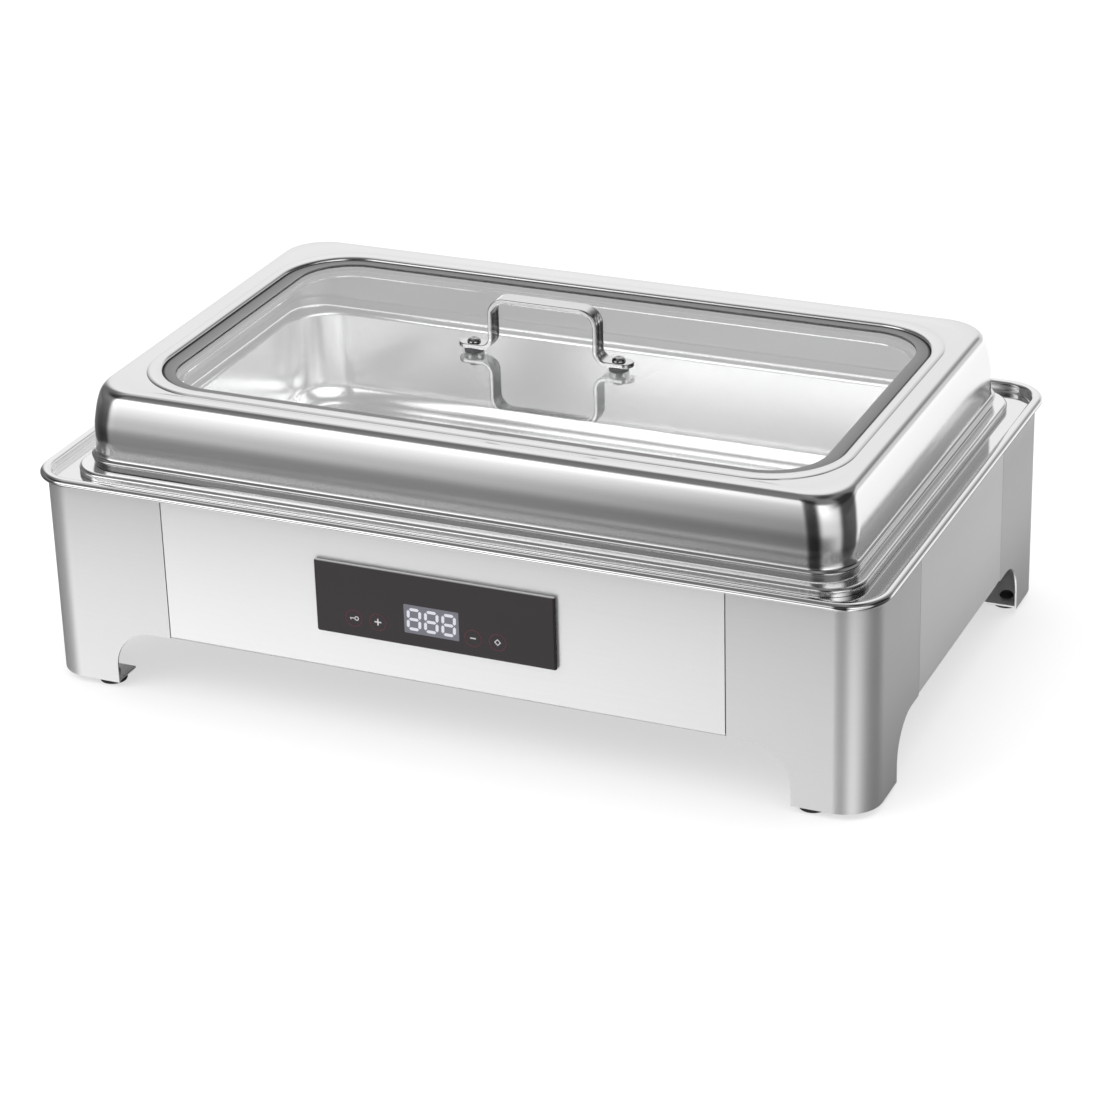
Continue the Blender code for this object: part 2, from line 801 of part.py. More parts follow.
def handle_outline(foot_bottom):
    """The bent strap seen from the front: its upper side, then its lower side."""
    half_sheet = HANDLE_THICKNESS / 2
    turn_x = HANDLE_LEG + HANDLE_FOOT_BEND
    turn_z = foot_bottom + half_sheet + HANDLE_FOOT_BEND
    bend_x = HANDLE_LEG + half_sheet - HANDLE_BEND
    bend_z = HANDLE_TOP - HANDLE_BEND
    inner_bend = HANDLE_BEND - HANDLE_THICKNESS
    foot_top = foot_bottom + HANDLE_THICKNESS
    upper = [(HANDLE_END, foot_bottom), (HANDLE_END, foot_top)]
    upper += arc(turn_x, turn_z, HANDLE_FOOT_BEND - half_sheet, 270.0, 180.0, 6)
    upper += arc(bend_x, bend_z, HANDLE_BEND, 0.0, 90.0, 8)
    lower = arc(bend_x, bend_z, inner_bend, 90.0, 0.0, 6)
    lower += arc(turn_x, turn_z, HANDLE_FOOT_BEND + half_sheet, 180.0, 270.0, 6)
    left_upper = [(-x, z) for x, z in reversed(upper)]
    left_lower = [(-x, z) for x, z in reversed(lower)]
    return upper + left_upper + left_lower + lower


def build_handle():
    glass_top = GLASS_BOTTOM + GLASS_THICKNESS
    spacer_bottom = glass_top + CLEARANCE
    foot_bottom = spacer_bottom + SPACER_HEIGHT + CLEARANCE
    handle = solid_prism(
        "handle", [handle_outline(foot_bottom)], 2 * HANDLE_WIDTH, "chrome", "Y"
    )
    end = HANDLE_WIDTH / 2
    stadium = arc(HANDLE_END - end, 0.0, end, -90.0, 90.0, 10)
    stadium += arc(end - HANDLE_END, 0.0, end, 90.0, 270.0, 10)
    limits = solid_prism("handle_limits", [stadium], 200 * MM, at=(0, 0, HANDLE_TOP))
    boolean(handle, limits, "INTERSECT")
    foot_top = foot_bottom + HANDLE_THICKNESS
    for sign in (-1, 1):
        hole = rod(
            f"handle_hole_{sign}", 2.6 * MM, 20 * MM, (sign * HANDLE_SCREW_X, 0, foot_bottom)
        )
        cut(handle, hole)
    soften = handle.modifiers.new("soften", "BEVEL")
    soften.width = 0.7 * MM
    soften.segments = 2
    soften.limit_method = "ANGLE"
    soften.angle_limit = math.radians(50)
    nut_height = 3.5 * MM
    nut_top = GLASS_BOTTOM - CLEARANCE
    shaft = 2.2 * MM
    head_bottom = foot_top + CLEARANCE
    shaft_end = nut_top - nut_height - 0.5 * MM
    screw_profile = [
        (0.0, head_bottom + 2.6 * MM),
        (1.8 * MM, head_bottom + 2.4 * MM),
        (3.4 * MM, head_bottom + 1.7 * MM),
        (4.3 * MM, head_bottom + 0.7 * MM),
        (4.5 * MM, head_bottom),
        (shaft, head_bottom),
        (shaft, shaft_end),
        (0.0, shaft_end),
    ]
    hexagon = circle(0.0, 0.0, 4.6 * MM, 6)
    for side, sign in (("left", -1), ("right", 1)):
        x = sign * HANDLE_SCREW_X
        turned(f"handle_screw_{side}", screw_profile, "chrome", (x, 0.0, 0.0))
        prism(
            f"handle_spacer_{side}",
            [circle(0.0, 0.0, 6.5 * MM, 24), circle(0.0, 0.0, 2.8 * MM)],
            SPACER_HEIGHT,
            "silicone",
            at=(x, 0.0, spacer_bottom + SPACER_HEIGHT / 2),
        )
        prism(
            f"handle_nut_{side}",
            [hexagon, circle(0.0, 0.0, shaft + CLEARANCE)],
            nut_height,
            "polished_steel",
            at=(x, 0.0, nut_top - nut_height / 2),
        )


# ---------------------------------------------------------------- controls


def build_controls():
    face = -SKIRT_HALF_Y
    glass_back = face - CLEARANCE
    outline = rounded_rectangle(CONTROL_HALF_X, CONTROL_HALF_Z, 1.5 * MM, 3)
    prism(
        "control_glass",
        [outline],
        CONTROL_GLASS,
        "dark_glass",
        "Y",
        (0.0, glass_back - CONTROL_GLASS / 2, CONTROL_HEIGHT),
        edge=0.5 * MM,
    )
    wall = 1.5 * MM
    inside_x = 74.0 * MM
    inside_z = 19.5 * MM
    corner = 3.0 * MM
    flange = 8.0 * MM
    front = -face - SKIRT_SHEET - CLEARANCE
    back = front - 14.0 * MM
    sections = [
        (inside_x + flange, inside_z + flange, corner + flange, front),
        (inside_x, inside_z, corner, front),
        (inside_x - 0.5 * MM, inside_z - 0.5 * MM, corner, back),
    ]
    housing = sheet("control_housing", sections, wall, "black_plastic", True)
    housing.rotation_euler = (math.pi / 2, 0.0, 0.0)
    housing.location = (0.0, 0.0, CONTROL_HEIGHT)
    housing = baked(housing, "black_plastic")
    grommet = rod(
        "housing_grommet", 3.0 * MM, 12.0 * MM, (KEY_X[0], -back, CONTROL_HEIGHT), "Y"
    )
    cut(housing, grommet)
    board_front = face + 8.6 * MM
    board_sheet = 1.6 * MM
    board = solid_prism(
        "control_board",
        [rounded_rectangle(70.0 * MM, 17.0 * MM, 1.0 * MM, 2)],
        board_sheet,
        "circuit_board",
        "Y",
        (0.0, board_front + board_sheet / 2, CONTROL_HEIGHT),
    )
    spring_length = board_front - glass_back - CLEARANCE
    overlap = 0.5 * MM
    for number, x in enumerate(KEY_X):
        middle = board_front + overlap - (spring_length + overlap) / 2
        spring = rod(
            f"key_spring_{number}",
            3.2 * MM,
            spring_length + overlap,
            (x, middle, KEY_HEIGHT),
            "Y",
            12,
        )
        join(board, spring)
    display_depth = board_front - glass_back - 2 * CLEARANCE
    block(
        "display_module",
        (40.0 * MM, display_depth, 22.0 * MM),
        (DISPLAY_X, glass_back + CLEARANCE + display_depth / 2, DISPLAY_HEIGHT),
        "black_plastic",
    )


# ---------------------------------------------------------------- heating and power


def build_heater():
    pan_underside = WELL_FLOOR - PAN_SHEET
    aspect = 75.0 * MM
    tray_half = 165.0 * MM
    tray_floor = 47.6 * MM
    tray_top = pan_underside - CLEARANCE
    tray_profile = [
        (tray_half + 9.0 * MM, 17.0 * MM, tray_top),
        (tray_half + 1.0 * MM, 9.0 * MM, tray_top),
        (tray_half, 8.0 * MM, tray_top - 1.0 * MM),
        (tray_half, 8.0 * MM, tray_floor + 2.0 * MM),
        (tray_half - 2.0 * MM, 6.0 * MM, tray_floor),
    ]
    tray = sheet("heater_tray", sections_of(tray_profile, aspect), 0.8 * MM, "brushed_steel", True)
    tray = baked(tray, "brushed_steel")
    notch = block(
        "tray_notch",
        (12.0 * MM, 34.0 * MM, 9.0 * MM),
        (-tray_half, 0.0, 57.4 * MM),
    )
    cut(tray, notch)
    plate_thickness = 3.0 * MM
    plate_top = pan_underside - CLEARANCE
    prism(
        "heating_plate",
        [rounded_rectangle(150.0 * MM, 76.0 * MM, 10.0 * MM, 4)],
        plate_thickness,
        "aluminium",
        at=(0.0, 0.0, plate_top - plate_thickness / 2),
    )
    mat_bottom = tray_floor + CLEARANCE
    mat_thickness = 4.4 * MM
    prism(
        "insulation_mat",
        [rounded_rectangle(160.0 * MM, 85.0 * MM, 5.0 * MM, 4)],
        mat_thickness,
        "mineral_wool",
        at=(0.0, 0.0, mat_bottom + mat_thickness / 2),
    )
    element_radius = 3.5 * MM
    level = plate_top - plate_thickness - CLEARANCE - element_radius
    near, far = 10.0 * MM, 52.0 * MM
    left, right = -138.0 * MM, 132.0 * MM
    pin_end = -184.0 * MM
    corners = [
        (pin_end, near, level),
        (left, near, level),
        (left, far, level),
        (right, far, level),
        (right, -far, level),
        (left, -far, level),
        (left, -near, level),
        (pin_end, -near, level),
    ]
    wire("heating_element", filleted(corners, 16.0 * MM), element_radius, "dark_steel")
    cutout_height = 7.0 * MM
    cutout_top = plate_top - plate_thickness - CLEARANCE
    cutout_middle = cutout_top - cutout_height / 2
    cutout = rod(
        "thermal_cutout",
        7.5 * MM,
        cutout_height,
        (0.0, 0.0, cutout_middle),
        finish="black_plastic",
    )
    for sign in (-1, 1):
        tab = block(
            f"cutout_tab_{sign}",
            (14.0 * MM, 5.0 * MM, 0.8 * MM),
            (sign * 11.0 * MM, 0.0, cutout_middle),
        )
        join(cutout, tab)
    probe_line = -112.0 * MM
    probe = [
        (-92.0 * MM, probe_line, 62.2 * MM),
        (-120.0 * MM, probe_line, 62.2 * MM),
        (-122.0 * MM, probe_line, 62.2 * MM),
        (-170.0 * MM, probe_line, 58.0 * MM),
        (-198.0 * MM, probe_line + 20.0 * MM, 57.0 * MM),
        (-198.0 * MM, -60.6 * MM, 57.0 * MM),
    ]
    wire("temperature_probe", probe, 1.25 * MM, "polished_steel", 2, 2.0)


def build_power():
    board_x = -212.0 * MM
    board_bottom = 50.0 * MM
    board_sheet = 1.6 * MM
    half_x, half_y = 24.0 * MM, 60.0 * MM
    board = solid_prism(
        "power_board",
        [rounded_rectangle(half_x, half_y, 2.0 * MM, 2, (board_x, 0.0))],
        board_sheet,
        "circuit_board",
        at=(0.0, 0.0, board_bottom + board_sheet / 2),
    )
    seat = COVER_BOTTOM + COVER_SHEET + CLEARANCE
    post_top = board_bottom + 0.5 * MM
    for sign_x in (-1, 1):
        for sign_y in (-1, 1):
            place = (board_x + sign_x * 19.0 * MM, sign_y * 55.0 * MM, (seat + post_top) / 2)
            join(board, rod(f"post_{sign_x}_{sign_y}", 2.5 * MM, post_top - seat, place, sides=8))
    sunk = board_bottom + board_sheet - 0.5 * MM
    components = {
        "relay": (18.0, 24.0, 11.0, 8.0, -22.0),
        "transformer": (26.0, 22.0, 11.5, -6.0, 8.0),
        "terminal_block": (24.0, 9.0, 9.0, -8.0, 50.0),
        "plug": (30.0, 7.0, 8.0, 0.0, -52.0),
    }
    for name, (size_x, size_y, height, x, y) in components.items():
        size = (size_x * MM, size_y * MM, height * MM)
        place = (board_x + x * MM, y * MM, sunk + height * MM / 2)
        join(board, block(name, size, place))
    loom = 56.0 * MM
    back_line = 165.0 * MM
    inlet_under = INLET_HEIGHT - 10.0 * MM - CLEARANCE
    supply = [
        (INLET_X, back_line, inlet_under),
        (INLET_X, back_line, loom),
        (board_x, back_line, loom),
        (board_x, half_y + CLEARANCE, loom),
    ]
    wire("mains_cable", filleted(supply, 9.0 * MM), 2.5 * MM, "black_plastic")
    front_line = -157.0 * MM
    signal = [
        (board_x, -half_y - CLEARANCE, loom),
        (board_x, front_line, loom),
        (KEY_X[0], front_line, loom),
        (KEY_X[0], front_line, CONTROL_HEIGHT),
        (KEY_X[0], -164.0 * MM, CONTROL_HEIGHT),
    ]
    wire("panel_cable", filleted(signal, 3.0 * MM), 1.4 * MM, "black_plastic")


def build_inlet():
    outside = SKIRT_HALF_Y + CLEARANCE
    flange = 2.0 * MM
    ear_x = INLET_SCREW_SPACING
    outline = rounded_rectangle(25.0 * MM, 11.5 * MM, 4.0 * MM, 4, (INLET_X, INLET_HEIGHT))
    holes = [circle(INLET_X + sign * ear_x, INLET_HEIGHT, 1.9 * MM) for sign in (-1, 1)]
    inlet = solid_prism(
        "power_inlet",
        [outline, *holes],
        flange,
        "black_plastic",
        "Y",
        (0.0, outside + flange / 2, 0.0),
    )
    body_depth = 15.0 * MM
    body = block(
        "inlet_body",
        (28.0 * MM, body_depth, 20.0 * MM),
        (INLET_X, outside + flange / 2 - body_depth / 2, INLET_HEIGHT),
    )
    join(inlet, body)
    socket_depth = 12.0 * MM
    socket = block(
        "inlet_socket",
        (24.0 * MM, socket_depth, 16.0 * MM),
        (INLET_X, outside + flange + 0.5 * MM - socket_depth / 2, INLET_HEIGHT),
    )
    cut(inlet, socket)
    socket_floor = outside + flange + 0.5 * MM - socket_depth
    pin_length = 9.0 * MM
    for name, x, z in (("live", -7.0, -1.5), ("earth", 0.0, 2.5), ("neutral", 7.0, -1.5)):
        pin = block(
            "pin_" + name,
            (2.0 * MM, pin_length, 4.0 * MM),
            (INLET_X + x * MM, socket_floor - 0.5 * MM + pin_length / 2, INLET_HEIGHT + z * MM),
        )
        join(inlet, pin)
    head = outside + flange + CLEARANCE
    profile = [
        (0.0, 1.7 * MM),
        (2.0 * MM, 1.4 * MM),
        (3.0 * MM, 0.6 * MM),
        (3.0 * MM, 0.0),
        (1.5 * MM, 0.0),
        (1.5 * MM, -8.0 * MM),
        (0.0, -8.0 * MM),
    ]
    for side, sign in (("left", -1), ("right", 1)):
        place = (INLET_X + sign * ear_x, head, INLET_HEIGHT)
        screw = turned(f"inlet_screw_{side}", profile, "polished_steel", place, 12)
        screw.rotation_euler = (-math.pi / 2, 0.0, 0.0)


build_legs()
build_feet()
build_aprons()
build_frame()
build_cover()
build_water_pan()
build_food_pan()
build_lid()
build_handle()
build_controls()
build_heater()
build_power()
build_inlet()
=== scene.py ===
"""Visual model of the electric buffet server: fine surfaces, materials, studio and camera."""

import math

import bmesh
import bpy
from mathutils import Matrix, Vector


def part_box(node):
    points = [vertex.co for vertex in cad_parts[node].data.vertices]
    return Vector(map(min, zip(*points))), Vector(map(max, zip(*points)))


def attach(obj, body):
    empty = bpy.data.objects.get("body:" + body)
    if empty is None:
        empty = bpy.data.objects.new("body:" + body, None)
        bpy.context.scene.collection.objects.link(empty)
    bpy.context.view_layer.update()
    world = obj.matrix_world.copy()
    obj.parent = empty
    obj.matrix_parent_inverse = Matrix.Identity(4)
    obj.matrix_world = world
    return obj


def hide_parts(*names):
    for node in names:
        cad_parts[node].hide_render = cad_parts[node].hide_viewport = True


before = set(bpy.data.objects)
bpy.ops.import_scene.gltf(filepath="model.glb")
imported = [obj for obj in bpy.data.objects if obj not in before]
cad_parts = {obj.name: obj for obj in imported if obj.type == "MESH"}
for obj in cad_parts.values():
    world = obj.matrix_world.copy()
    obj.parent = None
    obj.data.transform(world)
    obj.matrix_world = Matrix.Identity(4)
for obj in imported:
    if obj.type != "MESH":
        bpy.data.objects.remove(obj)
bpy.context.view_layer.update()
MM = 0.001
# Points closer than this are merged.
SAME_POINT = 0.001 * MM

# Drawn sheet of the pans, the lid and the glass retainer, then folded sheet of the stand.
DRAWN_SHEET = 0.8 * MM
FOLDED_SHEET = 1.2 * MM
LEG_ARCH = 27.0 * MM
STAND_CORNER = 24.0 * MM
# Across the panel from the middle of the stand, in millimetres.
KEY_CENTRES = {"lock": -54.9, "plus": -38.4, "minus": 26.0, "power": 42.4}

# Place in metres, turn in degrees and lens in millimetres, as solved for the photograph's view.
CAMERA_PLACE = (0.8382, -1.8737, 1.0200)
CAMERA_TURN = (64.88, 1.57, 23.40)
CAMERA_LENS = 112.8
# The side that the studio's front faces, in degrees from +X towards +Y.
FRONT_AZIMUTH = -114.0
# Name, place, size in metres and power in watts.
SOFT_BOXES = (
    ("key_light", (-1.3, -1.6, 2.1), 1.6, 26.0),
    ("top_light", (0.2, 0.3, 2.4), 2.0, 22.0),
)


# ------------------------------------------------------------------ node helpers


class Nodes:
    """A short way to add and wire shader nodes."""

    def __init__(self, tree):
        self.tree = tree

    def add(self, kind, inputs=None, **settings):
        node = self.tree.nodes.new(kind)
        for key, value in settings.items():
            setattr(node, key, value)
        for key, value in (inputs or {}).items():
            self.plug(value, node.inputs[key])
        return node

    def plug(self, value, socket):
        if isinstance(value, bpy.types.NodeSocket):
            self.tree.links.new(value, socket)
        else:
            socket.default_value = value

    def math(self, operation, *values, clamp=False):
        node = self.add("ShaderNodeMath", operation=operation, use_clamp=clamp)
        for socket, value in zip(node.inputs, values):
            self.plug(value, socket)
        return node.outputs[0]

    def scaled(self, vector, factor):
        return self.add("ShaderNodeVectorMath", {0: vector, 3: factor}, operation="SCALE").outputs[0]

    def ramp(self, value, stops):
        """A value eased through a ramp of (position, grey) stops."""
        node = self.add("ShaderNodeValToRGB", {0: value})
        ramp = node.color_ramp
        ramp.interpolation = "EASE"
        while len(ramp.elements) < len(stops):
            ramp.elements.new(0.5)
        for element, (position, grey) in zip(ramp.elements, stops):
            element.position = position
            element.color = (grey, grey, grey, 1.0)
        return node.outputs[0]

    def step(self, value, low, high, to_low=0.0, to_high=1.0):
        """Smoothly from to_low at low to to_high at high."""
        node = self.add(
            "ShaderNodeMapRange",
            {0: value, 1: low, 2: high, 3: to_low, 4: to_high},
            interpolation_type="SMOOTHSTEP",
        )
        return node.outputs[0]

    def mix(self, factor, a, b):
        node = self.add("ShaderNodeMix", data_type="RGBA")
        for index, value in ((0, factor), (6, a), (7, b)):
            if index and isinstance(value, float):
                value = (value, value, value, 1.0)
            elif index and isinstance(value, tuple) and len(value) == 3:
                value = (*value, 1.0)
            self.plug(value, node.inputs[index])
        return node.outputs[2]

    def noise(self, vector, scale=1.0, detail=2.0, stretch=(1.0, 1.0, 1.0), roughness=0.5):
        mapping = self.add("ShaderNodeMapping", {0: vector, "Scale": stretch})
        node = self.add(
            "ShaderNodeTexNoise",
            {"Vector": mapping.outputs[0], "Scale": scale, "Detail": detail, "Roughness": roughness},
        )
        return node.outputs[0]


def new_material(name):
    material = bpy.data.materials.new(name)
    material.use_nodes = True
    tree = material.node_tree
    tree.nodes.clear()
    nodes = Nodes(tree)
    output = nodes.add("ShaderNodeOutputMaterial")
    shader = nodes.add("ShaderNodeBsdfPrincipled")
    tree.links.new(shader.outputs[0], output.inputs[0])
    return material, nodes, shader


def place(nodes):
    return nodes.add("ShaderNodeTexCoord").outputs["Object"]


def metal(name, colour, roughness, grain=(3.0, 3.0, 1400.0), depth=0.02, spread=0.06, metallic=1.0):
    """Steel with a fine brushed grain, faint clouding from handling and small changes in gloss."""
    material, nodes, shader = new_material(name)
    where = place(nodes)
    lines = nodes.noise(where, 1.0, 3.0, grain, 0.65)
    broad = nodes.noise(where, 9.0, 3.0)
    shade = nodes.math("MULTIPLY_ADD", broad, 0.06, 0.97)
    fine = nodes.math("MULTIPLY_ADD", lines, 0.05, 0.975)
    tint = nodes.scaled(colour, nodes.math("MULTIPLY", shade, fine))
    nodes.plug(tint, shader.inputs["Base Color"])
    gloss = nodes.math("MULTIPLY_ADD", nodes.math("SUBTRACT", lines, 0.5), spread, roughness)
    gloss = nodes.math("MULTIPLY_ADD", nodes.math("SUBTRACT", broad, 0.5), spread, gloss)
    nodes.plug(gloss, shader.inputs["Roughness"])
    shader.inputs["Metallic"].default_value = metallic
    bump = nodes.add("ShaderNodeBump", {"Height": lines, "Strength": depth, "Distance": 0.0004})
    nodes.plug(bump.outputs[0], shader.inputs["Normal"])
    return material


def matt(name, colour, roughness, grain=900.0, depth=0.15, shine=0.5):
    """Rubber, silicone or moulded plastic with a fine texture and slight shade changes."""
    material, nodes, shader = new_material(name)
    where = place(nodes)
    fine = nodes.noise(where, grain, 2.0)
    broad = nodes.noise(where, 14.0, 3.0)
    dark = tuple(value * 0.82 for value in colour)
    light = tuple(min(1.0, value * 1.15) for value in colour)
    nodes.plug(nodes.mix(broad, dark, light), shader.inputs["Base Color"])
    nodes.plug(nodes.math("MULTIPLY_ADD", fine, 0.12, roughness - 0.06), shader.inputs["Roughness"])
    shader.inputs["Specular IOR Level"].default_value = shine
    bump = nodes.add("ShaderNodeBump", {"Height": fine, "Strength": depth, "Distance": 0.0002})
    nodes.plug(bump.outputs[0], shader.inputs["Normal"])
    return material


def chrome_with_painted_side_reflection():
    """Bright plate; the faces turned to the side carry a painted dark reflection, broken into long streaks.
    """
    material = metal("chrome_plate_painted_side_reflection", (0.80, 0.80, 0.81), 0.06, (200.0, 200.0, 200.0), 0.003, 0.02)
    nodes = Nodes(material.node_tree)
    shader = material.node_tree.nodes["Principled BSDF"]
    facing = nodes.add("ShaderNodeNewGeometry").outputs["Normal"]
    sideways_for_painted_reflection = nodes.math("ABSOLUTE", nodes.add("ShaderNodeSeparateXYZ", {0: facing}).outputs[0])
    # The side faces get a painted dark reflection, 0.10 to 0.50 in long streaks; the other faces stay at
    # 0.80.
    painted_reflection_streaks = nodes.noise(place(nodes), 1.0, 2.0, (700.0, 700.0, 12.0))
    dark = nodes.step(painted_reflection_streaks, 0.35, 0.65, 0.10, 0.50)
    shade = nodes.mix(nodes.step(sideways_for_painted_reflection, 0.35, 0.85), 0.80, dark)
    nodes.plug(shade, shader.inputs["Base Color"])
    return material


def panel_glass_painted_edge_highlight():
    """Dark printed glass with a painted highlight, 0.40 grey, on its upward-facing top edge."""
    material = matt("panel_glass_painted_edge_highlight", (0.014, 0.010, 0.012), 0.12, 60.0, 0.0, 0.32)
    nodes = Nodes(material.node_tree)
    base = material.node_tree.nodes["Principled BSDF"].inputs["Base Color"]
    facing = nodes.add("ShaderNodeNewGeometry").outputs["Normal"]
    upward_for_painted_highlight = nodes.add("ShaderNodeSeparateXYZ", {0: facing}).outputs[2]
    # Faces turned upwards get a painted highlight in their base colour.
    nodes.plug(nodes.mix(nodes.step(upward_for_painted_highlight, 0.3, 0.85), base.links[0].from_socket, 0.40), base)
    return material


def clear_glass():
    """A thin tempered pane: clear straight through, reflecting more at low angles, with faint wipe marks."""
    material = bpy.data.materials.new("clear_glass")
    material.use_nodes = True
    tree = material.node_tree
    tree.nodes.clear()
    nodes = Nodes(tree)
    where = place(nodes)
    wipes = nodes.noise(where, 30.0, 4.0, (0.3, 1.0, 1.0))
    stronger, strongest = 3.0, 0.45
    fresnel = nodes.add("ShaderNodeFresnel", {"IOR": 1.5}).outputs[0]
    inside = nodes.add("ShaderNodeNewGeometry").outputs["Backfacing"]
    outside = nodes.math("SUBTRACT", 1.0, inside)
    fresnel = nodes.math("MINIMUM", nodes.math("MULTIPLY", fresnel, stronger), strongest)
    fresnel = nodes.math("MULTIPLY", fresnel, outside)
    through = nodes.add("ShaderNodeBsdfTransparent", {0: (0.985, 0.99, 0.987, 1.0)})
    shine = nodes.add(
        "ShaderNodeBsdfGlossy",
        {"Color": (1.0, 1.0, 1.0, 1.0), "Roughness": nodes.math("MULTIPLY", wipes, 0.03)},
    )
    both = nodes.add("ShaderNodeMixShader", {0: fresnel, 1: through.outputs[0], 2: shine.outputs[0]})
    output = nodes.add("ShaderNodeOutputMaterial")
    tree.links.new(both.outputs[0], output.inputs[0])
    return material


def painted_glow(name, colour, strength):
    """A display segment with a painted glow standing in for light on it, a little uneven along its length."""
    material, nodes, shader = new_material(name)
    uneven = nodes.math("MULTIPLY_ADD", nodes.noise(place(nodes), 400.0, 1.0), 0.2 * strength, 0.9 * strength)
    shader.inputs["Base Color"].default_value = (*colour, 1.0)
    shader.inputs["Emission Color"].default_value = (*colour, 1.0)
    nodes.plug(uneven, shader.inputs["Emission Strength"])
    return material


AROUND = (3.0, 3.0, 1400.0)
ALONG_X = (4.0, 1400.0, 1400.0)

looks = {
    # Aprons and legs are one brushed steel; the legs' darker base colour, 0.76 against 0.90, is painted
    # shade.
    "apron": metal("apron_brushed", (0.90, 0.90, 0.90), 0.40, AROUND, 0.03, 0.06, 0.82),
    "leg": metal("leg_brushed_painted_shade", (0.76, 0.76, 0.76), 0.40, AROUND, 0.03, 0.06, 0.82),
    "lid": metal("lid_satin", (0.88, 0.88, 0.885), 0.17, AROUND, 0.012, 0.04),
    # The inside face of the lid is the same steel as the outside; its dark 0.22 base colour is painted shade.
    "lid_inner": metal("lid_inside_painted_shade", (0.22, 0.22, 0.225), 0.36, AROUND, 0.02, 0.05),
    "pan": metal("pan_satin", (0.96, 0.96, 0.96), 0.18, (900.0, 900.0, 900.0), 0.002, 0.05),
    "rim": metal("rim_polished", (0.92, 0.92, 0.92), 0.08, AROUND, 0.004, 0.03),
    "chrome": chrome_with_painted_side_reflection(),
    "screw": metal("screw_steel", (0.55, 0.55, 0.55), 0.16, (300.0, 300.0, 300.0), 0.01, 0.05),
    "inner": metal("inner_sheet", (0.60, 0.60, 0.60), 0.42, ALONG_X, 0.05, 0.1),
    "aluminium": metal("cast_aluminium", (0.66, 0.67, 0.68), 0.48, (700.0, 700.0, 700.0), 0.08, 0.12),
    "dark_steel": metal("dark_coating", (0.07, 0.07, 0.07), 0.5, (600.0, 600.0, 600.0), 0.08, 0.15),
    "silicone": matt("silicone_grey", (0.10, 0.10, 0.105), 0.50),
    "seal": matt("seal_silicone_painted_shade", (0.12, 0.12, 0.125), 0.55),
    "rubber": matt("rubber_black", (0.012, 0.012, 0.012), 0.7),
    "plastic": matt("plastic_black", (0.018, 0.018, 0.018), 0.45),
    "board": matt("circuit_board", (0.02, 0.12, 0.05), 0.4),
    "wool": matt("mineral_wool", (0.62, 0.58, 0.46), 0.95, 300.0, 0.8),
    "panel": panel_glass_painted_edge_highlight(),
    "window": clear_glass(),
    "display": matt("display_filter", (0.13, 0.13, 0.155), 0.35, 500.0, 0.0),
    # The segments' grey glow is painted light.
    "lit": painted_glow("segment_painted_glow", (0.46, 0.46, 0.50), 0.34),
    "mark": matt("printed_white", (0.52, 0.50, 0.52), 0.5),
    "ring": matt("printed_red", (0.062, 0.014, 0.020), 0.5),
}


# ------------------------------------------------------------------ shape helpers


def add_piece(name, mesh, look, body, replaced=(), smooth=True):
    obj = bpy.data.objects.new(name, mesh)
    bpy.context.scene.collection.objects.link(obj)
    if look:
        mesh.materials.clear()
        mesh.materials.append(looks[look])
    if smooth:
        mesh.shade_smooth()
        mesh.set_sharp_from_angle(angle=math.radians(35))
        even = obj.modifiers.new("flat_faces_stay_flat", "WEIGHTED_NORMAL")
        even.keep_sharp = True
        even.weight = 100
    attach(obj, body)
    if replaced:
        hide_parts(*replaced)
    return obj


def mesh_from(bm, name):
    mesh = bpy.data.meshes.new(name)
    bm.to_mesh(mesh)
    bm.free()
    return mesh


def evaluated(obj):
    """The finished mesh of a helper object, which is then removed."""
    bpy.context.view_layer.update()
    graph = bpy.context.evaluated_depsgraph_get()
    mesh = bpy.data.meshes.new_from_object(obj.evaluated_get(graph))
    mesh.transform(obj.matrix_world)
    bpy.data.objects.remove(obj, do_unlink=True)
    return mesh


def weld(mesh):
    """The mesh with its doubled points merged and its faces turned outwards."""
    bm = bmesh.new()
    bm.from_mesh(mesh)
    bmesh.ops.remove_doubles(bm, verts=bm.verts, dist=SAME_POINT)
    bmesh.ops.recalc_face_normals(bm, faces=bm.faces)
    bm.to_mesh(mesh)
    bm.free()
    return mesh


def arc(centre_x, centre_y, radius, start, end, steps):
    points = []
    for step in range(steps + 1):
        angle = math.radians(start + (end - start) * step / steps)
        points.append((centre_x + radius * math.cos(angle), centre_y + radius * math.sin(angle)))
    return points


def circle(centre_x, centre_y, radius, sides=48):
    return arc(centre_x, centre_y, radius, 0.0, 360.0, sides)[:-1]


def rounded_rectangle(half_x, half_y, radius, steps=18, centre=(0.0, 0.0), sides=0):
    """Anticlockwise outline. `sides` adds points along each straight run, to keep long faces short."""
    corners = ((1, 1, 0.0), (-1, 1, 90.0), (-1, -1, 180.0), (1, -1, 270.0))
    points = []
    for sign_x, sign_y, start in corners:
        corner_x = centre[0] + sign_x * (half_x - radius)
        corner_y = centre[1] + sign_y * (half_y - radius)
        points += arc(corner_x, corner_y, radius, start, start + 90.0, steps)
    if not sides:
        return points
    filled = []
    for index, point in enumerate(points):
        after = points[(index + 1) % len(points)]
        filled.append(point)
        if index % (steps + 1) == steps:
            for step in range(1, sides + 1):
                t = step / (sides + 1)
                filled.append((point[0] + (after[0] - point[0]) * t, point[1] + (after[1] - point[1]) * t))
    return filled


def smoothed(sections, between=5):
    """Extra sections on a smooth curve through the given ones."""
    out = []
    last = len(sections) - 1
    for i in range(last):
        p0, p1, p2, p3 = (Vector(sections[max(0, min(last, i + k))]) for k in (-1, 0, 1, 2))
        for step in range(between):
            t = step / between
            a = 2 * p1
            b = (p2 - p0) * t
            c = (2 * p0 - 5 * p1 + 4 * p2 - p3) * t * t
            d = (3 * p1 - p0 - 3 * p2 + p3) * t**3
            out.append(tuple((a + b + c + d) / 2))
    out.append(tuple(sections[-1]))
    return out


